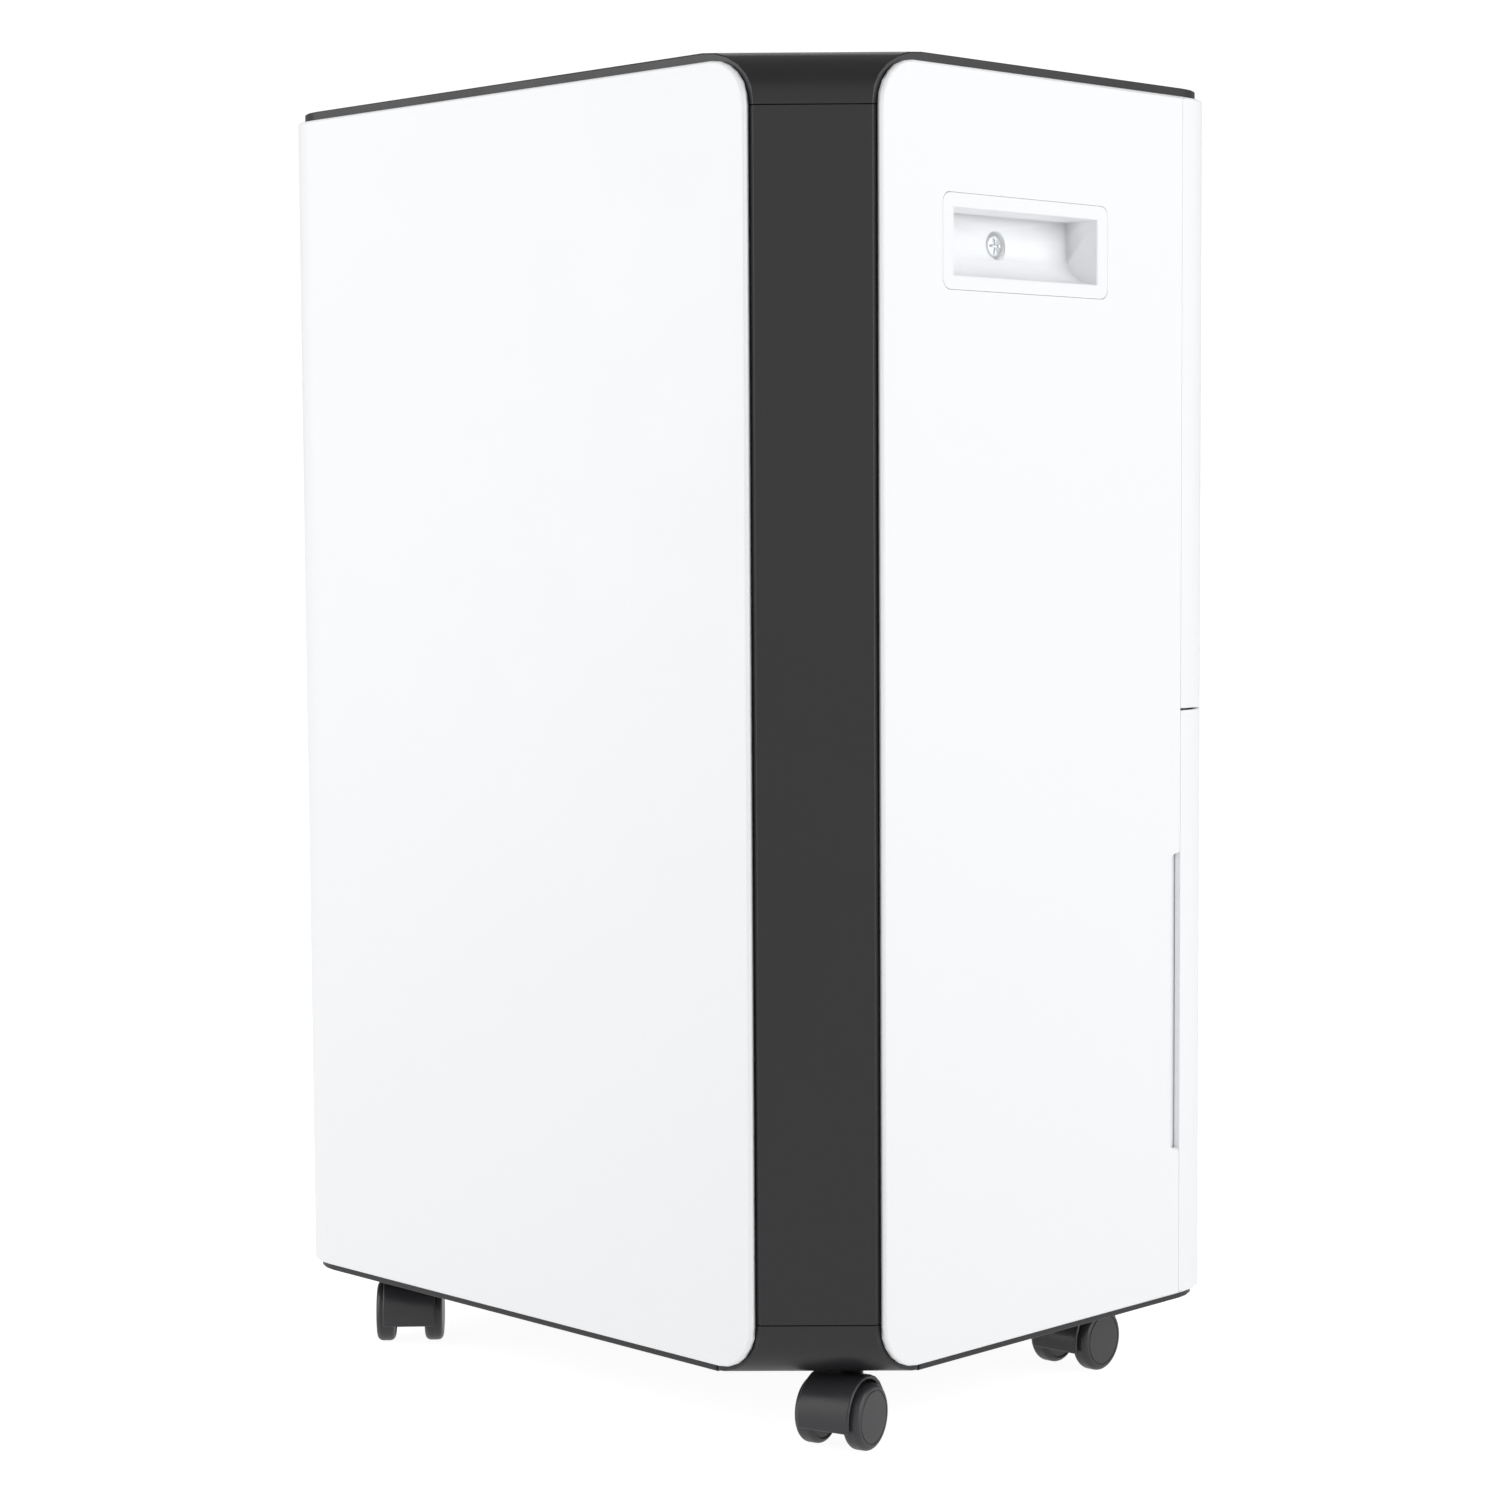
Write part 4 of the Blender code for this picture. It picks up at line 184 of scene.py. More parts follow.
class DehumidifierSizes(PropertyGroup):
    """Edge roundings of the visible pieces."""

    panel_edge: size_setting("Panel edge", 1.2, "Rounding of a white panel's outer edges")
    panel_seam: size_setting("Panel seam", 0.25, "Rounding of a white panel's edge where it meets its neighbour")
    frame_edge: size_setting("Frame edge", 0.8, "Rounding of the dark frame's outer edges")
    seam_edge: size_setting("Seam edge", 0.15, "Rounding where two pieces of the frame meet")
    cup_edge: size_setting("Handle edge", 0.7, "Rounding of the handle plate and its scoop")
    castor_edge: size_setting("Castor edge", 0.8, "Rounding of a castor hood's rims")
    button_edge: size_setting("Button edge", 0.6, "Rounding of a button's top")
    small_edge: size_setting("Small edge", 0.3, "Rounding of grilles and small fittings")
    wheel_steps: IntProperty(name="Wheel steps", description="Sides of a turned castor wheel", default=72, min=16)


class DehumidifierColours(PropertyGroup):
    """Base colours of the finishes."""

    white: colour_setting("White", "F5F6F8", "Satin moulded ABS of the panels")
    charcoal: colour_setting("Charcoal", "171719", "Fine-textured ABS of the frame")
    nylon: colour_setting("Castor nylon", "2E2E30", "Moulded nylon of the castors")
    gloss: colour_setting("Gloss black", "08080A", "Polished ABS of the control panel")
    grey: colour_setting("Grey", "6E7073", "Moulded inner plastic")
    tank: colour_setting("Tank", "C9D6E2", "Translucent polypropylene of the tank")
    mark: colour_setting("Marks", "D9DCE0", "Printed symbols of the controls")
    floor: colour_setting("Floor", "FFFFFF", "Studio floor")


# ---------------------------------------------------------------- finishes
def satin_abs(colours):
    # White ABS moulded in a spark-eroded tool: a soft sheen over a very fine, even grain that only grazing light shows.
    return moulded("satin_moulded_abs_white", colours.white, 0.42, 0.9 * MM, 0.045, 0.03)


def textured_abs(colours):
    # Charcoal ABS with a leather-fine mould texture (0.5 mm in life, drawn at 0.7 mm so that it shows): it breaks its
    # highlight into a dull, slightly patchy sheen.
    return moulded(
        "textured_moulded_abs_charcoal",
        colours.charcoal,
        0.4,
        0.7 * MM,
        0.16,
        0.05,
        linear("1F1F22"),
        Specular_IOR_Level=0.56,
    )


def moulded_nylon(colours):
    # Glass-filled nylon: greyer than the frame, with a waxy highlight and cloudy flow marks.
    return moulded("moulded_nylon_dark_grey", colours.nylon, 0.34, 0.9 * MM, 0.22, 0.08, linear("37373A"))


def polished_abs(colours):
    # Polished black ABS: sharp reflections with faint wiping haze.
    return moulded("polished_abs_black", colours.gloss, 0.12, 6 * MM, 0.012, 0.05, Coat_Weight=0.4, Coat_Roughness=0.05)


def smoked_acrylic(colours):
    # Smoked acrylic window: nearly black, clear gloss over the display behind it.
    return moulded("smoked_acrylic", linear("0A0B0E"), 0.06, 8 * MM, 0.006, 0.02, IOR=1.49, Coat_Weight=0.5)


def inner_plastic(colours):
    # Uncoated grey polypropylene of the inner pieces: matt, with a soft mottled tone.
    return moulded("moulded_polypropylene_grey", colours.grey, 0.5, 1.0 * MM, 0.08, 0.05, linear("5F6164"))


def tank_plastic(colours):
    # Translucent polypropylene: milky, light passes but no shape does.
    return moulded(
        "translucent_polypropylene", colours.tank, 0.34, 1.6 * MM, 0.04, 0.06, Transmission_Weight=0.45, IOR=1.49
    )


def zinc_plate(colours):
    # Zinc-plated steel: pale metal with a faint blue passivation and cloudy patches.
    return moulded("zinc_plated_steel", linear("E2E4E6"), 0.24, 0.5 * MM, 0.06, 0.06, linear("CDD2D8"), Metallic=1.0)


def black_enamel(colours):
    # Stoved black enamel on the drawn steel can: glossy with an orange-peel of 3 mm.
    return moulded("stoved_enamel_black", linear("101113"), 0.24, 3 * MM, 0.07, 0.04)


def fin_stack(colours):
    # Aluminium fins at 1.6 mm spacing, a little bent here and there: light stripes in the fins' own metal colour, and
    # dark stripes between them that are painted shade standing in for the gaps.
    material, tree, shader = new_material("aluminium_fins_with_painted_gap_shade", linear("C6C9CC"), 0.35, Metallic=1.0)
    place = add(tree, "ShaderNodeTexCoord").outputs["Object"]
    wander = add(tree, "ShaderNodeTexNoise", {"Vector": place, "Scale": 1 / (18 * MM), "Detail": 2.0})
    split = add(tree, "ShaderNodeSeparateXYZ", {"Vector": place})
    bend = add(tree, "ShaderNodeMath", {0: wander.outputs["Fac"], 1: 0.8 * MM}, operation="MULTIPLY")
    moved = add(tree, "ShaderNodeMath", {0: split.outputs["X"], 1: bend.outputs[0]}, operation="ADD")
    turns = add(tree, "ShaderNodeMath", {0: moved.outputs[0], 1: 2 * math.pi / (1.6 * MM)}, operation="MULTIPLY")
    wave = add(tree, "ShaderNodeMath", {0: turns.outputs[0]}, operation="SINE")
    tone = add(tree, "ShaderNodeMapRange", {"Value": wave.outputs[0], "From Min": -0.5, "From Max": 0.5})
    # A is painted shade for the gaps between the fins; B is the fins' own metal colour.
    ends = {"Factor": tone.outputs[0], "A": linear("3A3C3F"), "B": linear("D2D5D8")}
    mix = add(tree, "ShaderNodeMix", ends, data_type="RGBA")
    bump = add(tree, "ShaderNodeBump", {"Height": tone.outputs[0], "Strength": 0.5, "Distance": 0.4 * MM})
    tree.links.new(mix.outputs[2], shader.inputs["Base Color"])
    tree.links.new(bump.outputs["Normal"], shader.inputs["Normal"])
    return material


def drawn_copper(colours):
    # Drawn copper tube: warm metal, dulled by handling to browner patches.
    return moulded("drawn_copper", linear("C9825C"), 0.3, 0.6 * MM, 0.05, 0.09, linear("8E5A40"), Metallic=1.0)


def moulded_rubber(colours):
    # Moulded rubber: dull near-black with a dusty bloom.
    return moulded("moulded_rubber", linear("141414"), 0.68, 0.6 * MM, 0.12, 0.06, linear("242424"))


def woven_filter(colours):
    # Woven nylon dust screen: threads 1.4 mm apart in life, drawn at 2 mm so that the weave shows. The threads take a
    # grey nylon colour, and the near-black between them is painted shade standing in for the openings of the mesh.
    material, tree, shader = new_material("woven_nylon_screen_with_painted_opening_shade", linear("3A3C3E"), 0.6)
    place = add(tree, "ShaderNodeTexCoord").outputs["Object"]
    split = add(tree, "ShaderNodeSeparateXYZ", {"Vector": place})
    threads = []
    for axis in ("X", "Z"):
        turns = add(tree, "ShaderNodeMath", {0: split.outputs[axis], 1: 2 * math.pi / (2 * MM)}, operation="MULTIPLY")
        threads.append(add(tree, "ShaderNodeMath", {0: turns.outputs[0]}, operation="SINE").outputs[0])
    weave = add(tree, "ShaderNodeMath", {0: threads[0], 1: threads[1]}, operation="MAXIMUM")
    tone = add(tree, "ShaderNodeMapRange", {"Value": weave.outputs[0], "From Min": 0.1, "From Max": 0.8})
    # A is painted shade in the openings between the threads; B is the threads' own colour.
    ends = {"Factor": tone.outputs[0], "A": linear("0B0B0C"), "B": linear("55585B")}
    mix = add(tree, "ShaderNodeMix", ends, data_type="RGBA")
    bump = add(tree, "ShaderNodeBump", {"Height": tone.outputs[0], "Strength": 0.6, "Distance": 0.3 * MM})
    tree.links.new(mix.outputs[2], shader.inputs["Base Color"])
    tree.links.new(bump.outputs["Normal"], shader.inputs["Normal"])
    return material


def solder_mask(colours):
    # Green solder mask over glass fibre: glossy with darker traces under it.
    return moulded("solder_mask_green", linear("0E4A2B"), 0.25, 1.2 * MM, 0.05, 0.04, linear("12603A"))


def closed_foam(colours):
    # Closed-cell foam of the float: pale, matt, cells of 1.5 mm.
    return moulded("closed_cell_foam", linear("E6E3DA"), 0.75, 1.5 * MM, 0.35, 0.05, linear("D8D4C8"))


def printed_mark(colours):
    # Pad-printed ink: flat, slightly raised, a touch uneven.
    return moulded("printed_ink", colours.mark, 0.5, 0.3 * MM, 0.05, 0.05)


def lit_segment(colours):
    # Light-emitting segments behind the window: a soft even glow.
    return moulded(
        "lit_segment",
        linear("BFE9F2"),
        0.4,
        0.4 * MM,
        0.02,
        0.02,
        Emission_Color=linear("BFE9F2"),
        Emission_Strength=0.8,
    )


FINISHES = {
    "white_abs": satin_abs,
    "charcoal_abs": textured_abs,
    "castor_nylon": moulded_nylon,
    "panel_gloss": polished_abs,
    "smoked_lens": smoked_acrylic,
    "grey_plastic": inner_plastic,
    "tank_plastic": tank_plastic,
    "zinc_steel": zinc_plate,
    "black_enamel": black_enamel,
    "aluminium_fins": fin_stack,
    "copper_tube": drawn_copper,
    "rubber": moulded_rubber,
    "filter_nylon": woven_filter,
    "board_green": solder_mask,
    "float_foam": closed_foam,
    "mark": printed_mark,
    "segment": lit_segment,
}
made_finishes = {}


def finish(slot):
    if slot not in made_finishes:
        made_finishes[slot] = FINISHES[slot](bpy.context.scene.dehumidifier_colours)
    return made_finishes[slot]


# ---------------------------------------------------------------- solids
def new_object(name, work):
    """A mesh object from a bmesh, which is freed."""
    mesh = bpy.data.meshes.new(name)
    work.to_mesh(mesh)
    work.free()
    obj = bpy.data.objects.new(name, mesh)
    bpy.context.scene.collection.objects.link(obj)
    return obj


def baked(obj):
    """Applies an object's modifiers."""
    graph = bpy.context.evaluated_depsgraph_get()
    graph.update()
    mesh = bpy.data.meshes.new_from_object(obj.evaluated_get(graph))
    obj.modifiers.clear()
    obj.data = mesh
    return obj


def off_skin(point, half_x, half_y, corner):
    """How far a point stands outside a rounded rectangle of the plan; negative inside."""
    x, y = abs(point.x) - half_x + corner, abs(point.y) - half_y + corner
    return math.hypot(max(x, 0), max(y, 0)) + min(max(x, y), 0) - corner


def rounded(node, name, widest, radius_at, segments=3, least=28.0):
    """A copy of a frame node with its outward edges rounded: radius_at(middle, edge) gives each one's radius."""
    work = bmesh.new()
    work.from_mesh(frame["nodes"][node].data)
    bmesh.ops.remove_doubles(work, verts=work.verts, dist=2e-6)
    bmesh.ops.dissolve_limit(work, angle_limit=math.radians(0.4), verts=work.verts, edges=work.edges)
    bmesh.ops.triangulate(work, faces=[face for face in work.faces if len(face.verts) > 4])
    weights = work.edges.layers.float.new("bevel_weight_edge")
    marked = 0
    for edge in work.edges:
        if len(edge.link_faces) != 2 or not edge.is_convex:
            continue
        bend = edge.calc_face_angle(0.0)
        if bend < math.radians(least):
            continue
        radius = radius_at((edge.verts[0].co + edge.verts[1].co) / 2, edge)
        if radius > 0:
            edge[weights] = min(1.0, math.tan(bend / 2) * radius / widest)
            marked += 1
    obj = new_object(name, work)
    if marked:
        bevel = obj.modifiers.new("fillet", "BEVEL")
        bevel.width = widest
        bevel.segments = segments
        bevel.limit_method = "WEIGHT"
        bevel.use_clamp_overlap = False
        bevel.loop_slide = False
        baked(obj)
    return obj


def body_of(node):
    return next(body for body, nodes in frame["record"]["behaviour"]["bodies"].items() if node in nodes)


def settle(obj, slot, body, nodes=(), sharp=40.0):
    """Gives a piece its finish, shading and body, and hides the nodes that it stands for."""
    obj.data.materials.clear()
    obj.data.materials.append(finish(slot))
    for polygon in obj.data.polygons:
        polygon.material_index = 0
    obj.data.shade_smooth()
    obj.data.set_sharp_from_angle(angle=math.radians(sharp))
    even = obj.modifiers.new("even", "WEIGHTED_NORMAL")
    even.keep_sharp = True
    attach(obj, body)
    if nodes:
        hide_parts(*nodes)
    return obj


def dressed(node, slot, widest, radius_at=None, sharp=40.0, **options):
    """A rounded copy of a node that stands for it."""
    give = radius_at or (lambda middle, edge: widest)
    return settle(rounded(node, f"{node}_finished", widest, give, **options), slot, body_of(node), (node,), sharp)


def paint(node, slot):
    """A frame node whose own shape is right gets its finish."""
    data = frame["nodes"][node].data
    data.materials.clear()
    data.materials.append(finish(slot))


def lathe(profile, steps):
    """A turned solid about Z from a list of (radius, height) that starts and ends on the axis."""
    work = bmesh.new()
    rings = []
    for radius, height in profile:
        if radius <= 0:
            rings.append([work.verts.new((0, 0, height))] * steps)
            continue
        angles = [2 * math.pi * step / steps for step in range(steps)]
        rings.append([work.verts.new((radius * math.cos(a), radius * math.sin(a), height)) for a in angles])
    for ring, above in zip(rings, rings[1:]):
        for i in range(steps):
            corners = dict.fromkeys((ring[i], ring[(i + 1) % steps], above[(i + 1) % steps], above[i]))
            if len(corners) > 2:
                work.faces.new(list(corners))
    bmesh.ops.recalc_face_normals(work, faces=work.faces)
    return work


def ribbon(work, points, width, height, closed=False):
    """A flat printed line along points of the plan, at a height."""
    points = [Vector(p) for p in points]
    count = len(points)
    sides = []
    for i, here in enumerate(points):
        back = points[i - 1] if closed or i else here
        ahead = points[(i + 1) % count] if closed or i + 1 < count else here
        run = (ahead - back).normalized()
        across = Vector((-run.y, run.x)) * width / 2
        sides.append([work.verts.new((*(here + across * s), height)) for s in (1, -1)])
    for i in range(count if closed else count - 1):
        a, b = sides[i], sides[(i + 1) % count]
        work.faces.new((a[0], a[1], b[1], b[0]))


def arc(centre, radius, first, last, steps=24):
    turns = [math.radians(first + (last - first) * i / steps) for i in range(steps + 1)]
    return [(centre[0] + radius * math.cos(t), centre[1] + radius * math.sin(t)) for t in turns]


# ---------------------------------------------------------------- pieces
class DEHUMIDIFIER_OT_panels(Operator):
    """White skin panels, proud of the frame, with soft outer edges and tight seams"""

    bl_idname = "dehumidifier.panels"
    bl_label = "Skin panels"

    def execute(self, context):
        sizes = context.scene.dehumidifier_sizes
        cup_low, cup_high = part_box("right_handle_cup")

        def by_a_handle(point):
            """Whether a point of a panel lies round the handle plate; both plates have the same Y and Z."""
            beside = all(cup_low[axis] - MM < point[axis] < cup_high[axis] + MM for axis in (Y, Z))
            return abs(point.x) > SKIN_X - 1 * MM and beside

        def radius_at(middle, edge):
            if off_skin(middle, SKIN_X, SKIN_Y, SKIN_CORNER) < -0.25 * MM:
                return 0.0
            ends = [v.co for v in edge.verts]
            if all(abs(e.z - TANK_SEAM_Z) < 1.0 * MM for e in ends):
                return sizes.panel_seam
            if all(abs(e.y - SIDE_SEAM_Y) < 1.0 * MM for e in ends):
                return sizes.seam_edge
            if by_a_handle(middle):
                return sizes.seam_edge
            return sizes.panel_edge

        for node in SKIN_PANELS:
            panel = dressed(node, "white_abs", sizes.panel_edge, radius_at, segments=4)
            if node in ("rear_cover", "tank_front"):
                self.close_seam(panel)
        for side, sign in (("right", 1), ("left", -1)):
            self.grip(side, sign)
        return {"FINISHED"}

    def close_seam(self, panel):
        """Brings a rear panel's edge up to the side panels, to leave only a hairline."""
        for vertex in panel.data.vertices:
            if abs(vertex.co.x) > SKIN_X - 3.5 * MM and SIDE_SEAM_Y < vertex.co.y < SIDE_SEAM_Y + 1.0 * MM:
                vertex.co.y -= SIDE_SEAM_CLOSING

    def grip(self, side, sign):
        """The shallow curved finger scoop of a tank grip. It covers the frame's pocket, which is deeper."""
        outer, inner = [], []
        for step in range(SCOOP_STEPS + 1):
            share = step / SCOOP_STEPS
            y = SCOOP_START + (SCOOP_END - SCOOP_START) * share
            x = SKIN_X - SCOOP_INSET - SCOOP_FALL * share**1.5
            outer.append((x, y))
            inner.append((x - SCOOP_WALL, y))
        loop = outer + inner[::-1]
        count = len(outer)
        work = bmesh.new()
        rings = [[work.verts.new((sign * x, y, z)) for x, y in loop] for z in (SCOOP_LOW, SCOOP_HIGH)]
        for i in range(len(loop)):
            j = (i + 1) % len(loop)
            work.faces.new((rings[0][i], rings[0][j], rings[1][j], rings[1][i]))
        for ring in rings:
            for i in range(count - 1):
                work.faces.new((ring[i], ring[i + 1], ring[2 * count - 2 - i], ring[2 * count - 1 - i]))
        bmesh.ops.recalc_face_normals(work, faces=work.faces)
        settle(new_object(f"{side}_grip_scoop", work), "white_abs", "tank")


class DEHUMIDIFIER_OT_frame(Operator):
    """Dark frame between the panels: base tray, corner cap, corner pillar and top cover"""

    bl_idname = "dehumidifier.frame"
    bl_label = "Frame"

    def execute(self, context):
        sizes = context.scene.dehumidifier_sizes
        low, high = span("base_tray", Z)[0], span("top_cover", Z)[1]
        seams = (
            *span("corner_pillar", Z),
            span("base_corner_cap", Z)[1],
            span("base_tray", Z)[1],
            span("top_cover", Z)[0],
        )

        def radius_at(middle, edge):
            outer = off_skin(middle, FRAME_X, FRAME_Y, FRAME_CORNER) > -0.2 * MM
            near_corner = middle.x > FRAME_X - CHAMFER_REACH and middle.y < CHAMFER_REACH - FRAME_Y
            if any(abs(middle.z - z) < 0.4 * MM for z in seams):
                return sizes.seam_edge if near_corner or outer else 0.0
            if outer and (near_corner or middle.z < low + 0.2 * MM or middle.z > high - 0.2 * MM):
                return sizes.frame_edge
            if middle.z > high - 0.2 * MM:
                return sizes.small_edge
            return 0.0

        for node in ("base_tray", "top_cover", "corner_pillar", "base_corner_cap"):
            dressed(node, "charcoal_abs", sizes.frame_edge, radius_at, least=18.0, sharp=24.0)
        paint("chassis", "grey_plastic")
        return {"FINISHED"}


class DEHUMIDIFIER_OT_underside(Operator):
    """Stiffening ribs and screw bosses under the base tray"""

    bl_idname = "dehumidifier.underside"
    bl_label = "Underside"

    BOSS = ((0, 0.3), (6.0, 0.3), (6.0, -0.8), (5.7, -1.1), (4.4, -1.1), (4.1, -0.8), (4.1, -0.1), (0, -0.1))
    SCREW = ((0, -0.1), (3.6, -0.1), (3.5, -0.4), (2.6, -0.8), (1.5, -0.95), (1.2, -0.45), (0, -0.25))

    def execute(self, context):
        floor = span("base_tray", Z)[0]
        half_x, half_y, rib, drop = 84 * MM, 88 * MM, 1.6 * MM, 1.1 * MM
        bars = [(x, y, rib, 2 * half_y) for x, y in ((-half_x, 0), (-28 * MM, 0), (28 * MM, 0), (half_x, 0))]
        bars += [(0, y, 2 * half_x + rib, rib) for y in (-half_y, -44 * MM, 0, 44 * MM, half_y)]
        work = bmesh.new()
        for x, y, wide, deep in bars:
            made = bmesh.ops.create_cube(work, size=1.0)["verts"]
            bmesh.ops.scale(work, vec=(wide, deep, drop + 0.4 * MM), verts=made)
            bmesh.ops.translate(work, vec=(x, y, floor - drop / 2 + 0.2 * MM), verts=made)
        bmesh.ops.bevel(
            work, geom=work.edges[:], offset=0.25 * MM, segments=2, affect="EDGES", profile=0.5, clamp_overlap=True
        )
        settle(new_object("base_ribs", work), "charcoal_abs", "body")
        places = ((-56, -66), (56, -66), (-56, 66), (56, 66), (0, -22), (0, 22))
        for number, (x, y) in enumerate(places, 1):
            self.turned(f"base_screw_boss_{number}", "charcoal_abs", x * MM, y * MM, floor, self.BOSS)
            self.turned(f"base_screw_{number}", "zinc_steel", x * MM, y * MM, floor, self.SCREW)
        return {"FINISHED"}

    def turned(self, name, slot, x, y, floor, profile):
        """A turned fitting under the base; its profile is in millimetres from the base's underside."""
        work = lathe([(radius * MM, height * MM) for radius, height in profile], 40)
        bmesh.ops.translate(work, vec=(x, y, floor), verts=work.verts)
        settle(new_object(name, work), slot, "body", sharp=30.0)


class DEHUMIDIFIER_OT_handles(Operator):
    """Recessed carrying handles with their scoop, and a cross-head screw in each"""

    bl_idname = "dehumidifier.handles"
    bl_label = "Handles"

    def execute(self, context):
        sizes = context.scene.dehumidifier_sizes
        for side in ("right", "left"):
            low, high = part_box(f"{side}_handle_cup")
            face = max(abs(low.x), abs(high.x))

            def radius_at(middle, edge):
                if abs(middle.x) < face - 0.3 * MM:
                    return 0.0
                rim = min(middle.y - low.y, high.y - middle.y, middle.z - low.z, high.z - middle.z) < 1.5 * MM
                return sizes.seam_edge if rim else sizes.cup_edge

            cup = dressed(f"{side}_handle_cup", "white_abs", sizes.cup_edge, radius_at, sharp=24.0)
            self.close_rim(cup, low, high, face)
            dressed(f"{side}_handle_screw", "zinc_steel", 0.15 * MM, segments=2)
        return {"FINISHED"}

    def close_rim(self, cup, low, high, face):
        """Moves the plate's rim out to leave only a hairline round it."""
        for vertex in cup.data.vertices:
            if abs(vertex.co.x) < face - 4 * MM:
                continue
            for axis in (Y, Z):
                for limit, sign in ((low[axis], -1), (high[axis], 1)):
                    if abs(vertex.co[axis] - limit) < 1.5 * MM:
                        vertex.co[axis] += sign * HANDLE_RIM_CLOSING


class DEHUMIDIFIER_OT_castors(Operator):
    """Twin-wheel castors: hoods with rounded rims and turned wheels with a domed face and a groove"""

    bl_idname = "dehumidifier.castors"
    bl_label = "Castors"

    def execute(self, context):
        sizes = context.scene.dehumidifier_sizes
        for place in ("front_right", "front_left", "rear_right", "rear_left"):
            dressed(f"{place}_castor_hood", "castor_nylon", sizes.castor_edge, segments=3, least=50.0)
            for side in ("left", "right"):
                self.wheel(sizes, place, side)
        return {"FINISHED"}

    def wheel(self, sizes, place, side):
        node = f"{place}_castor_{side}_wheel"
        body = body_of(node)
        joint = next(j for j in frame["record"]["behaviour"]["joints"] if j["child"] == body)
        axle = Vector(joint["axis"]).normalized()
        low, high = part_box(node)
        centre = (low + high) / 2
        radius = (high.z - low.z) / 2
        mid = sum(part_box(f"{place}_castor_hood"), Vector()) / 2
        outward = axle if (centre - mid).dot(axle) > 0 else -axle
        half = WHEEL_WIDTH / 2
        edge = WHEEL_EDGE
        profile = [
            (0, -half),
            (radius * 0.42, -half),
            (radius * 0.42, -half + 0.6 * MM),
            (radius - edge, -half + 0.6 * MM),
        ]
        profile += [
            (radius - edge + edge * math.sin(math.radians(a)), -half + edge - edge * math.cos(math.radians(a)))
            for a in (15, 30, 45, 60, 75, 90)
        ]
        profile += [
            (radius - edge + edge * math.cos(math.radians(a)), half - edge + edge * math.sin(math.radians(a)))
            for a in (0, 15, 30, 45, 60, 75)
        ]
        profile += [
            (radius - edge - 0.05 * MM, half - 0.05 * MM),
            (radius - edge - 0.2 * MM, half - 0.35 * MM),
            (radius - edge - 0.45 * MM, half - 0.35 * MM),
            (radius - edge - 0.6 * MM, half - 0.06 * MM),
            (radius * 0.45, half),
            (radius * 0.2, half),
            (0, half),
        ]
        work = lathe(profile, sizes.wheel_steps)
        turn = Vector((0, 0, 1)).rotation_difference(outward).to_matrix().to_4x4()
        bmesh.ops.transform(work, matrix=Matrix.Translation(centre) @ turn, verts=work.verts)
        settle(new_object(f"{node}_turned", work), "castor_nylon", body, (node,), sharp=32.0)


class DEHUMIDIFIER_OT_controls(Operator):
    """Gloss control panel with its window, five domed buttons and their printed symbols"""

    bl_idname = "dehumidifier.controls"
    bl_label = "Controls"

    def execute(self, context):
        sizes = context.scene.dehumidifier_sizes
        top = span("control_panel", Z)[1]
        dressed(
            "control_panel",
            "panel_gloss",
            sizes.small_edge,
            lambda middle, edge: sizes.small_edge if middle.z > top - 0.1 * MM else 0.0,
        )
        self.sink(dressed("display_lens", "smoked_lens", 0.15 * MM, segments=2), span("display_lens", Z)[1])
        self.digits()
        drawings = {
            "power_button": [arc((0, 0), 2.6 * MM, 125, 415), [(0, 0.6 * MM), (0, 3.4 * MM)]],
            "mode_button": [[(-2.6 * MM, y * MM), (2.6 * MM, y * MM)] for y in (-1.6, 0, 1.6)],
            "fan_speed_button": [
                arc(
                    (1.5 * MM * math.cos(t), 1.5 * MM * math.sin(t)),
                    1.3 * MM,
                    math.degrees(t) - 120,
                    math.degrees(t) + 90,
                    12,
                )
                for t in (math.radians(a) for a in (90, 210, 330))
            ],
            "humidity_button": [
                [
                    (0, 3.1 * MM),
                    (-1.7 * MM, 0.3 * MM),
                    *arc((0, -0.7 * MM), 1.9 * MM, 155, 385, 16),
                    (1.7 * MM, 0.3 * MM),
                    (0, 3.1 * MM),
                ]
            ],
            "timer_button": [arc((0, 0), 2.8 * MM, 0, 360), [(0, 1.9 * MM), (0, 0), (1.3 * MM, -0.9 * MM)]],
        }
        for node, lines in drawings.items():
            low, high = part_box(node)
            cap = dressed(
                node,
                "grey_plastic",
                sizes.button_edge,
                lambda middle, edge: sizes.button_edge if middle.z > high.z - 0.2 * MM else 0.0,
            )
            self.sink(cap, high.z)
            work = bmesh.new()
            for line in lines:
                ribbon(work, line, INK_WIDTH, 0.0)
            centre = (low + high) / 2
            bmesh.ops.translate(work, vec=(centre.x, centre.y, high.z + INK_HEIGHT), verts=work.verts)
            settle(new_object(f"{node}_symbol", work), "mark", body_of(node))
        return {"FINISHED"}

    def sink(self, obj, top):
        """Lowers a top face by a hair, to leave room for the ink on it."""
        for vertex in obj.data.vertices:
            if vertex.co.z > top - 0.1 * MM:
                vertex.co.z -= INK_DROP

    def digits(self):
        """Two seven-segment figures under the window's gloss."""
        low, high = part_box("display_lens")
        centre = (low + high) / 2
        w, h = 3.2 * MM, 5.6 * MM
        segments = {
            "top": [(-w, h), (w, h)],
            "middle": [(-w, 0), (w, 0)],
            "bottom": [(-w, -h), (w, -h)],
            "upper_left": [(-w, h), (-w, 0)],
            "lower_right": [(w, 0), (w, -h)],
        }
        work = bmesh.new()
        for offset in (-6.5 * MM, 6.5 * MM):
            for a, b in segments.values():
                a, b = Vector(a), Vector(b)
                gap = (b - a).normalized() * 0.7 * MM
                ribbon(work, [a + gap + Vector((offset, 0)), b - gap + Vector((offset, 0))], 1.0 * MM, 0.0)
        bmesh.ops.translate(work, vec=(centre.x, centre.y, high.z + INK_HEIGHT), verts=work.verts)
        settle(new_object("display_figures", work), "segment", "body")


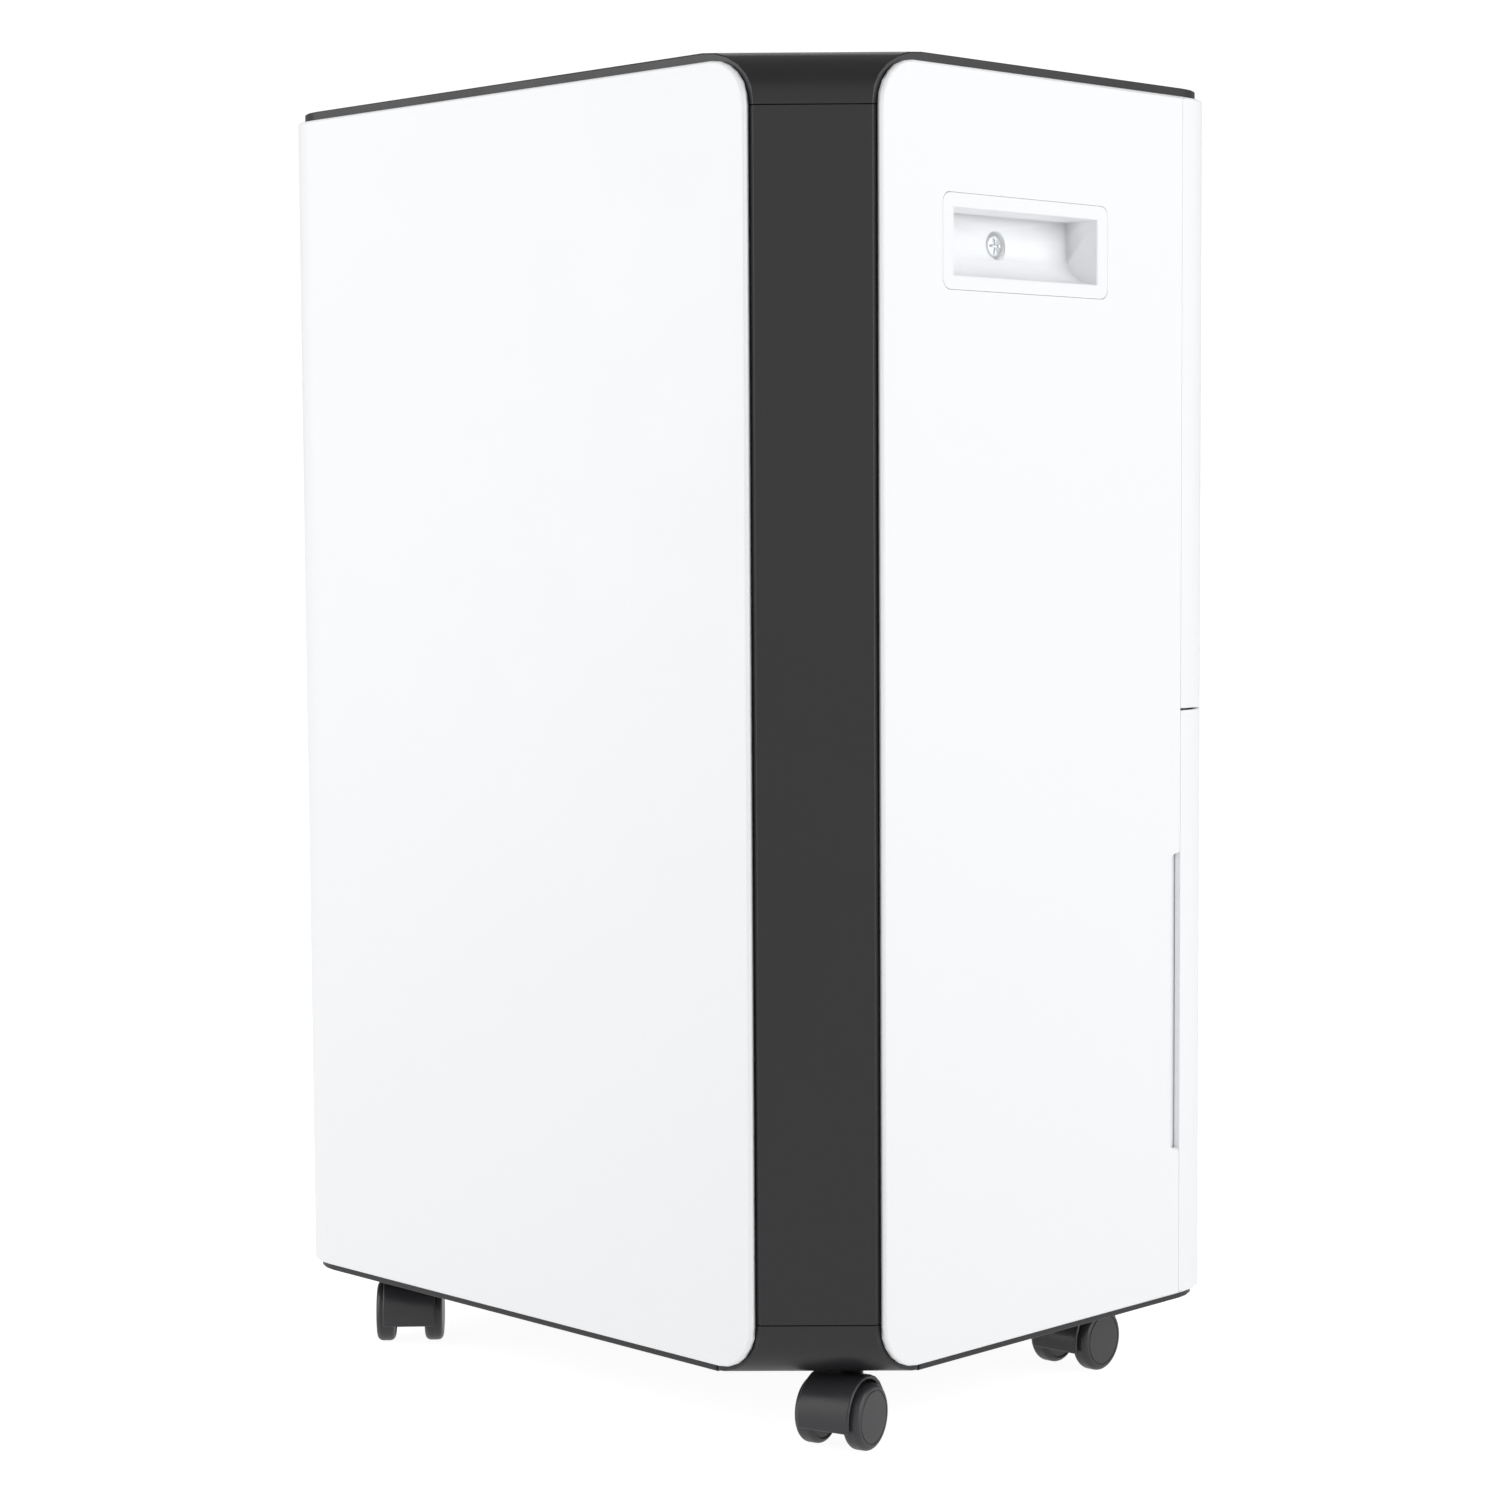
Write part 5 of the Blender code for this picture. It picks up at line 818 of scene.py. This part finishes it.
class DEHUMIDIFIER_OT_outlet(Operator):
    """Air outlet: the flap on its barrels and the vaned grille under it"""

    bl_idname = "dehumidifier.outlet"
    bl_label = "Outlet"

    def execute(self, context):
        sizes = context.scene.dehumidifier_sizes
        dressed("louvre_flap", "charcoal_abs", sizes.small_edge, segments=2, least=60.0)
        dressed("outlet_grille", "grey_plastic", 0.25 * MM, segments=2, least=60.0)
        return {"FINISHED"}


class DEHUMIDIFIER_OT_intake(Operator):
    """Air intake: the slotted grille and the dust screen behind it"""

    bl_idname = "dehumidifier.intake"
    bl_label = "Intake"

    def execute(self, context):
        back = span("intake_grille", Y)[1]
        dressed(
            "intake_grille",
            "white_abs",
            0.4 * MM,
            lambda middle, edge: 0.4 * MM if middle.y > back - 0.2 * MM else 0.0,
            segments=2,
        )
        paint("filter_screen", "filter_nylon")
        return {"FINISHED"}


class DEHUMIDIFIER_OT_tank(Operator):
    """Water tank: milky body, lid, carrying bail and float"""

    bl_idname = "dehumidifier.tank"
    bl_label = "Tank"

    def execute(self, context):
        sizes = context.scene.dehumidifier_sizes
        dressed("tank_body", "tank_plastic", sizes.frame_edge, segments=3, least=50.0)
        dressed("tank_lid", "grey_plastic", sizes.small_edge, segments=2, least=60.0)
        paint("tank_handle", "grey_plastic")
        dressed("tank_float", "float_foam", sizes.frame_edge, segments=3, least=60.0)
        return {"FINISHED"}


class DEHUMIDIFIER_OT_workings(Operator):
    """Working parts behind the panels: compressor, coils, tubes, blower and electrics"""

    bl_idname = "dehumidifier.workings"
    bl_label = "Workings"

    def execute(self, context):
        finishes = {
            "grey_plastic": ("drip_tray", "fan_housing", "fan_wheel", "electrical_box"),
            "black_enamel": ("compressor", "suction_accumulator"),
            "zinc_steel": ("fan_motor", "run_capacitor"),
            "rubber": ("compressor_foot_1", "compressor_foot_2", "compressor_foot_3", "cord_gland"),
            "aluminium_fins": ("condenser", "evaporator"),
            "copper_tube": ("discharge_pipe", "suction_pipe", "capillary_tube"),
            "board_green": ("control_board",),
            "charcoal_abs": ("tank_switch",),
        }
        for slot, nodes in finishes.items():
            for node in nodes:
                paint(node, slot)
        return {"FINISHED"}


class DEHUMIDIFIER_OT_stage(Operator):
    """Pale floor, soft studio light and the camera"""

    bl_idname = "dehumidifier.stage"
    bl_label = "Stage"

    def execute(self, context):
        scene = context.scene
        scene.view_settings.view_transform = "Standard"
        scene.view_settings.look = "None"
        self.floor(scene)
        self.sky(scene)
        self.lamp("soft_box_left", (-1.2, -1.9, 0.85), 2.0, 2.1)
        self.lamp("soft_box_right", (2.1, 0.8, 0.85), 2.0, 2.1)
        self.lamp("soft_box_camera", (2.1, -2.1, 1.4), 2.4, 0.5)
        self.lamp("soft_box_back", (-2.1, 2.1, 1.4), 2.4, 1.2)
        self.camera(scene)
        return {"FINISHED"}

    def floor(self, scene):
        """A seamless pale floor that keeps only a faint contact shadow."""
        work = bmesh.new()
        bmesh.ops.create_grid(work, x_segments=1, y_segments=1, size=30)
        obj = new_object("studio_floor", work)
        colour = scene.dehumidifier_colours.floor
        # A sheet that glows evenly and shows only a breath of shadow. The camera sees it brighter than it lights the
        # object, so that it reads as white while the object keeps its shading.
        material, tree, shader = new_material(
            "lit_acrylic_floor", linear("9A9A9A"), 0.9, Emission_Color=colour, Specular_IOR_Level=0.0
        )
        path = add(tree, "ShaderNodeLightPath")
        glow = add(tree, "ShaderNodeMapRange", {"Value": path.outputs["Is Camera Ray"], "To Min": 0.62, "To Max": 0.93})
        tree.links.new(glow.outputs["Result"], shader.inputs["Emission Strength"])
        # One-sided: from under it, the sheet lets the underside of the machine be seen.
        under = add(tree, "ShaderNodeNewGeometry")
        clear = add(tree, "ShaderNodeBsdfTransparent")
        sides = {0: under.outputs["Backfacing"], 1: shader.outputs[0], 2: clear.outputs[0]}
        mix = add(tree, "ShaderNodeMixShader", sides)
        tree.links.new(mix.outputs[0], tree.nodes["Material Output"].inputs["Surface"])
        obj.data.materials.append(material)

    def sky(self, scene):
        """A white surround, which the camera also sees brighter than it lights the object."""
        world = bpy.data.worlds.new("studio_white")
        world.use_nodes = True
        tree = world.node_tree
        back = tree.nodes["Background"]
        back.inputs["Color"].default_value = (1, 1, 1, 1)
        back.inputs["Strength"].default_value = 0.36
        seen = add(tree, "ShaderNodeBackground", {"Color": (1, 1, 1, 1), "Strength": 1.05})
        path = add(tree, "ShaderNodeLightPath")
        views = {0: path.outputs["Is Camera Ray"], 1: back.outputs[0], 2: seen.outputs[0]}
        mix = add(tree, "ShaderNodeMixShader", views)
        tree.links.new(mix.outputs[0], tree.nodes["World Output"].inputs["Surface"])
        scene.world = world

    def lamp(self, name, place, size, brightness):
        """A square soft box that faces the object; brightness is its surface's, where 1 is the white floor's."""
        light = bpy.data.lights.new(name, "AREA")
        light.shape = "SQUARE"
        light.size = size
        light.energy = brightness * math.pi * size**2
        obj = bpy.data.objects.new(name, light)
        obj.location = place
        obj.rotation_euler = (Vector((0, 0, 0.25)) - Vector(place)).to_track_quat("-Z", "Y").to_euler()
        bpy.context.scene.collection.objects.link(obj)

    def camera(self, scene):
        data = bpy.data.cameras.new("camera")
        data.sensor_width = 36.0
        data.lens = 77.99
        data.clip_end = 100.0
        azimuth, elevation, roll = (math.radians(a) for a in (135.43, -4.145, -0.338))
        ahead = Vector(
            (math.cos(elevation) * math.cos(azimuth), math.cos(elevation) * math.sin(azimuth), math.sin(elevation))
        )
        right = ahead.cross(Vector((0, 0, 1))).normalized()
        up = right.cross(ahead)
        right, up = (
            right * math.cos(roll) + up * math.sin(roll),
            up * math.cos(roll) - right * math.sin(roll),
        )
        turn = Matrix((right, up, -ahead)).transposed().to_4x4()
        obj = bpy.data.objects.new("camera", data)
        obj.matrix_world = Matrix.Translation((0.98785, -0.96970, 0.35798)) @ turn
        scene.collection.objects.link(obj)
        scene.camera = obj


PIECES = (
    DEHUMIDIFIER_OT_panels,
    DEHUMIDIFIER_OT_frame,
    DEHUMIDIFIER_OT_underside,
    DEHUMIDIFIER_OT_handles,
    DEHUMIDIFIER_OT_castors,
    DEHUMIDIFIER_OT_controls,
    DEHUMIDIFIER_OT_outlet,
    DEHUMIDIFIER_OT_intake,
    DEHUMIDIFIER_OT_tank,
    DEHUMIDIFIER_OT_workings,
    DEHUMIDIFIER_OT_stage,
)


class DEHUMIDIFIER_PT_pieces(Panel):
    """Lists the pieces and the sizes and colours that they take"""

    bl_idname = "DEHUMIDIFIER_PT_pieces"
    bl_label = "Dehumidifier"
    bl_space_type = "VIEW_3D"
    bl_region_type = "UI"
    bl_category = "Dehumidifier"

    def draw(self, context):
        layout = self.layout
        for group in (context.scene.dehumidifier_sizes, context.scene.dehumidifier_colours):
            box = layout.box()
            for name in group.__annotations__:
                box.prop(group, name)
        for operator in PIECES:
            layout.operator(operator.bl_idname)


CLASSES = (DehumidifierSizes, DehumidifierColours, *PIECES, DEHUMIDIFIER_PT_pieces)


def register():
    for item in CLASSES:
        bpy.utils.register_class(item)
    bpy.types.Scene.dehumidifier_sizes = PointerProperty(type=DehumidifierSizes)
    bpy.types.Scene.dehumidifier_colours = PointerProperty(type=DehumidifierColours)


def unregister():
    del bpy.types.Scene.dehumidifier_colours
    del bpy.types.Scene.dehumidifier_sizes
    for item in reversed(CLASSES):
        bpy.utils.unregister_class(item)


def main():
    register()
    for operator in PIECES:
        group, name = operator.bl_idname.split(".")
        getattr(getattr(bpy.ops, group), name)()


if __name__ == "__main__":
    main()
